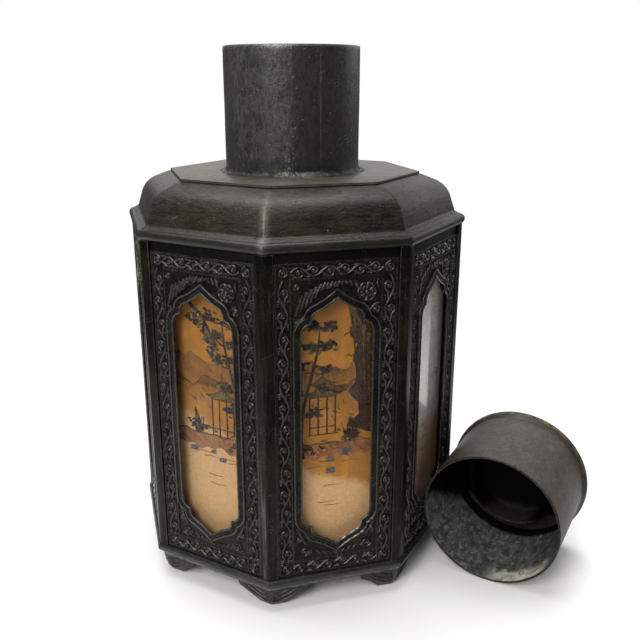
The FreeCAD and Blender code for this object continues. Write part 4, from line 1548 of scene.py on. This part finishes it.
class CADDY_OT_cap(bpy.types.Operator):
    """Spins the cap's side, its disc and the collar inside it"""
    bl_idname = "caddy.cap"
    bl_label = "Turn Cap"

    def execute(self, context):
        p = settings().pewter
        place = cap_place()
        flange = CAP_SEAT - CAP_FLANGE
        shell = rounded([
            (CAP_BORE, 0), (CAP_RADIUS, 0), (CAP_RADIUS, flange - 1.6), (CAP_LIP, flange),
            (CAP_LIP, CAP_SEAT), (CAP_BORE, CAP_SEAT)], 0.3)
        disc = rounded([
            (CAP_LIP, CAP_SEAT), (CAP_LIP, CAP_LENGTH - 0.5), (CAP_LIP - 0.5, CAP_LENGTH),
            (0.001, CAP_LENGTH), (0.001, CAP_SEAT)], 0.2)
        inner, mouth = COLLAR_RADIUS - COLLAR_WALL, CAP_SEAT - COLLAR_LENGTH
        collar = rounded([
            (inner, mouth), (COLLAR_RADIUS, mouth), (COLLAR_RADIUS, CAP_SEAT),
            (inner, CAP_SEAT)], 0.3)
        outside = pewter("cap_pewter", p.cap, 0.15, 0.05, 0.44, 0.5, cap_marks_and_painted_shade, (1.7, 1.7, 1.7))
        inside = pewter("cap_oxide", shade(p.oxide, 0.36), 0.1, 0.05, 0.6, 0.05, mouth_crust_and_painted_shadow)
        edge = pewter("cap_edge", p.relief, 0.1, 0.5, 0.36, 0.4)
        # The closed end and the collar take painted light and shadow
        deep = pewter("cap_depth", shade(p.cap, 0.4), 0.1, 0.05, 0.6, 0.05, painted_light_in_depth)
        # The collar's outside, painted near-black as the shadow in the gap behind it
        shadow = pewter("cap_recess", shade(p.ground, 0.4), 0.1, 0.0, 0.7, 0.0)
        for name, profile, node, within in (
                ("cap_side", shell, "cap_shell", inside),
                ("cap_disc", disc, "cap_top", deep),
                ("cap_inner_collar", collar, "cap_collar", deep)):
            piece = turned(name, profile)
            self.sort_faces(piece)
            self.dent(piece)
            piece.data.transform(place)
            smooth(piece, 40)
            dress(piece, (outside, within, edge, shadow), node, body=CAP, slot="cap_pewter")
        return {"FINISHED"}

    def sort_faces(self, piece):
        """Sets the finish of each face: mouth's edge, collar's outside, inside, or outside."""
        for face in piece.data.polygons:
            reach = face.center.xy.length / MM
            level = face.center.z / MM
            if level < 0.25:
                face.material_index = EDGE
            elif abs(reach - COLLAR_RADIUS) < 0.2 and level < CAP_SEAT:
                face.material_index = SHADOW
            elif reach < CAP_BORE + 0.2 and level < CAP_SEAT + 0.2:
                face.material_index = WITHIN

    def dent(self, piece):
        """Small hollows from use, always inward."""
        for v in piece.data.vertices:
            reach = v.co.xy.length
            if reach > (CAP_BORE - HAIR) * MM:
                hollow = max(noise.noise(v.co * 75.0) * 0.3, 0.0)
                v.co.xy *= 1 - hollow * 0.4 * MM / reach


class CADDY_PT_sidebar(bpy.types.Panel):
    """Lists the steps that dress the caddy"""
    bl_idname = "CADDY_PT_sidebar"
    bl_label = "Tea Caddy"
    bl_space_type = "VIEW_3D"
    bl_region_type = "UI"
    bl_category = "Tea Caddy"

    def draw(self, context):
        for step in STEPS:
            self.layout.operator(step.bl_idname)


STEPS = (
    CADDY_OT_stage,
    CADDY_OT_casework,
    CADDY_OT_panels,
    CADDY_OT_scrolls,
    CADDY_OT_windows,
    CADDY_OT_neck,
    CADDY_OT_cap,
)
GROUPS = (PewterSettings, CarvingSettings, PictureSettings, StageSettings, CaddySettings)
CLASSES = GROUPS + STEPS + (CADDY_PT_sidebar,)


def register():
    for item in CLASSES:
        bpy.utils.register_class(item)
    bpy.types.Scene.tea_caddy = PointerProperty(type=CaddySettings)


def unregister():
    del bpy.types.Scene.tea_caddy
    for item in reversed(CLASSES):
        bpy.utils.unregister_class(item)


def main():
    register()
    for step in STEPS:
        group, name = step.bl_idname.split(".")
        getattr(getattr(bpy.ops, group), name)()
    boxes = {"cad": CAD_BOX, "visual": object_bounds()}
    plain = {name: [list(corner) for corner in box] for name, box in boxes.items()}


if __name__ == "__main__":
    main()
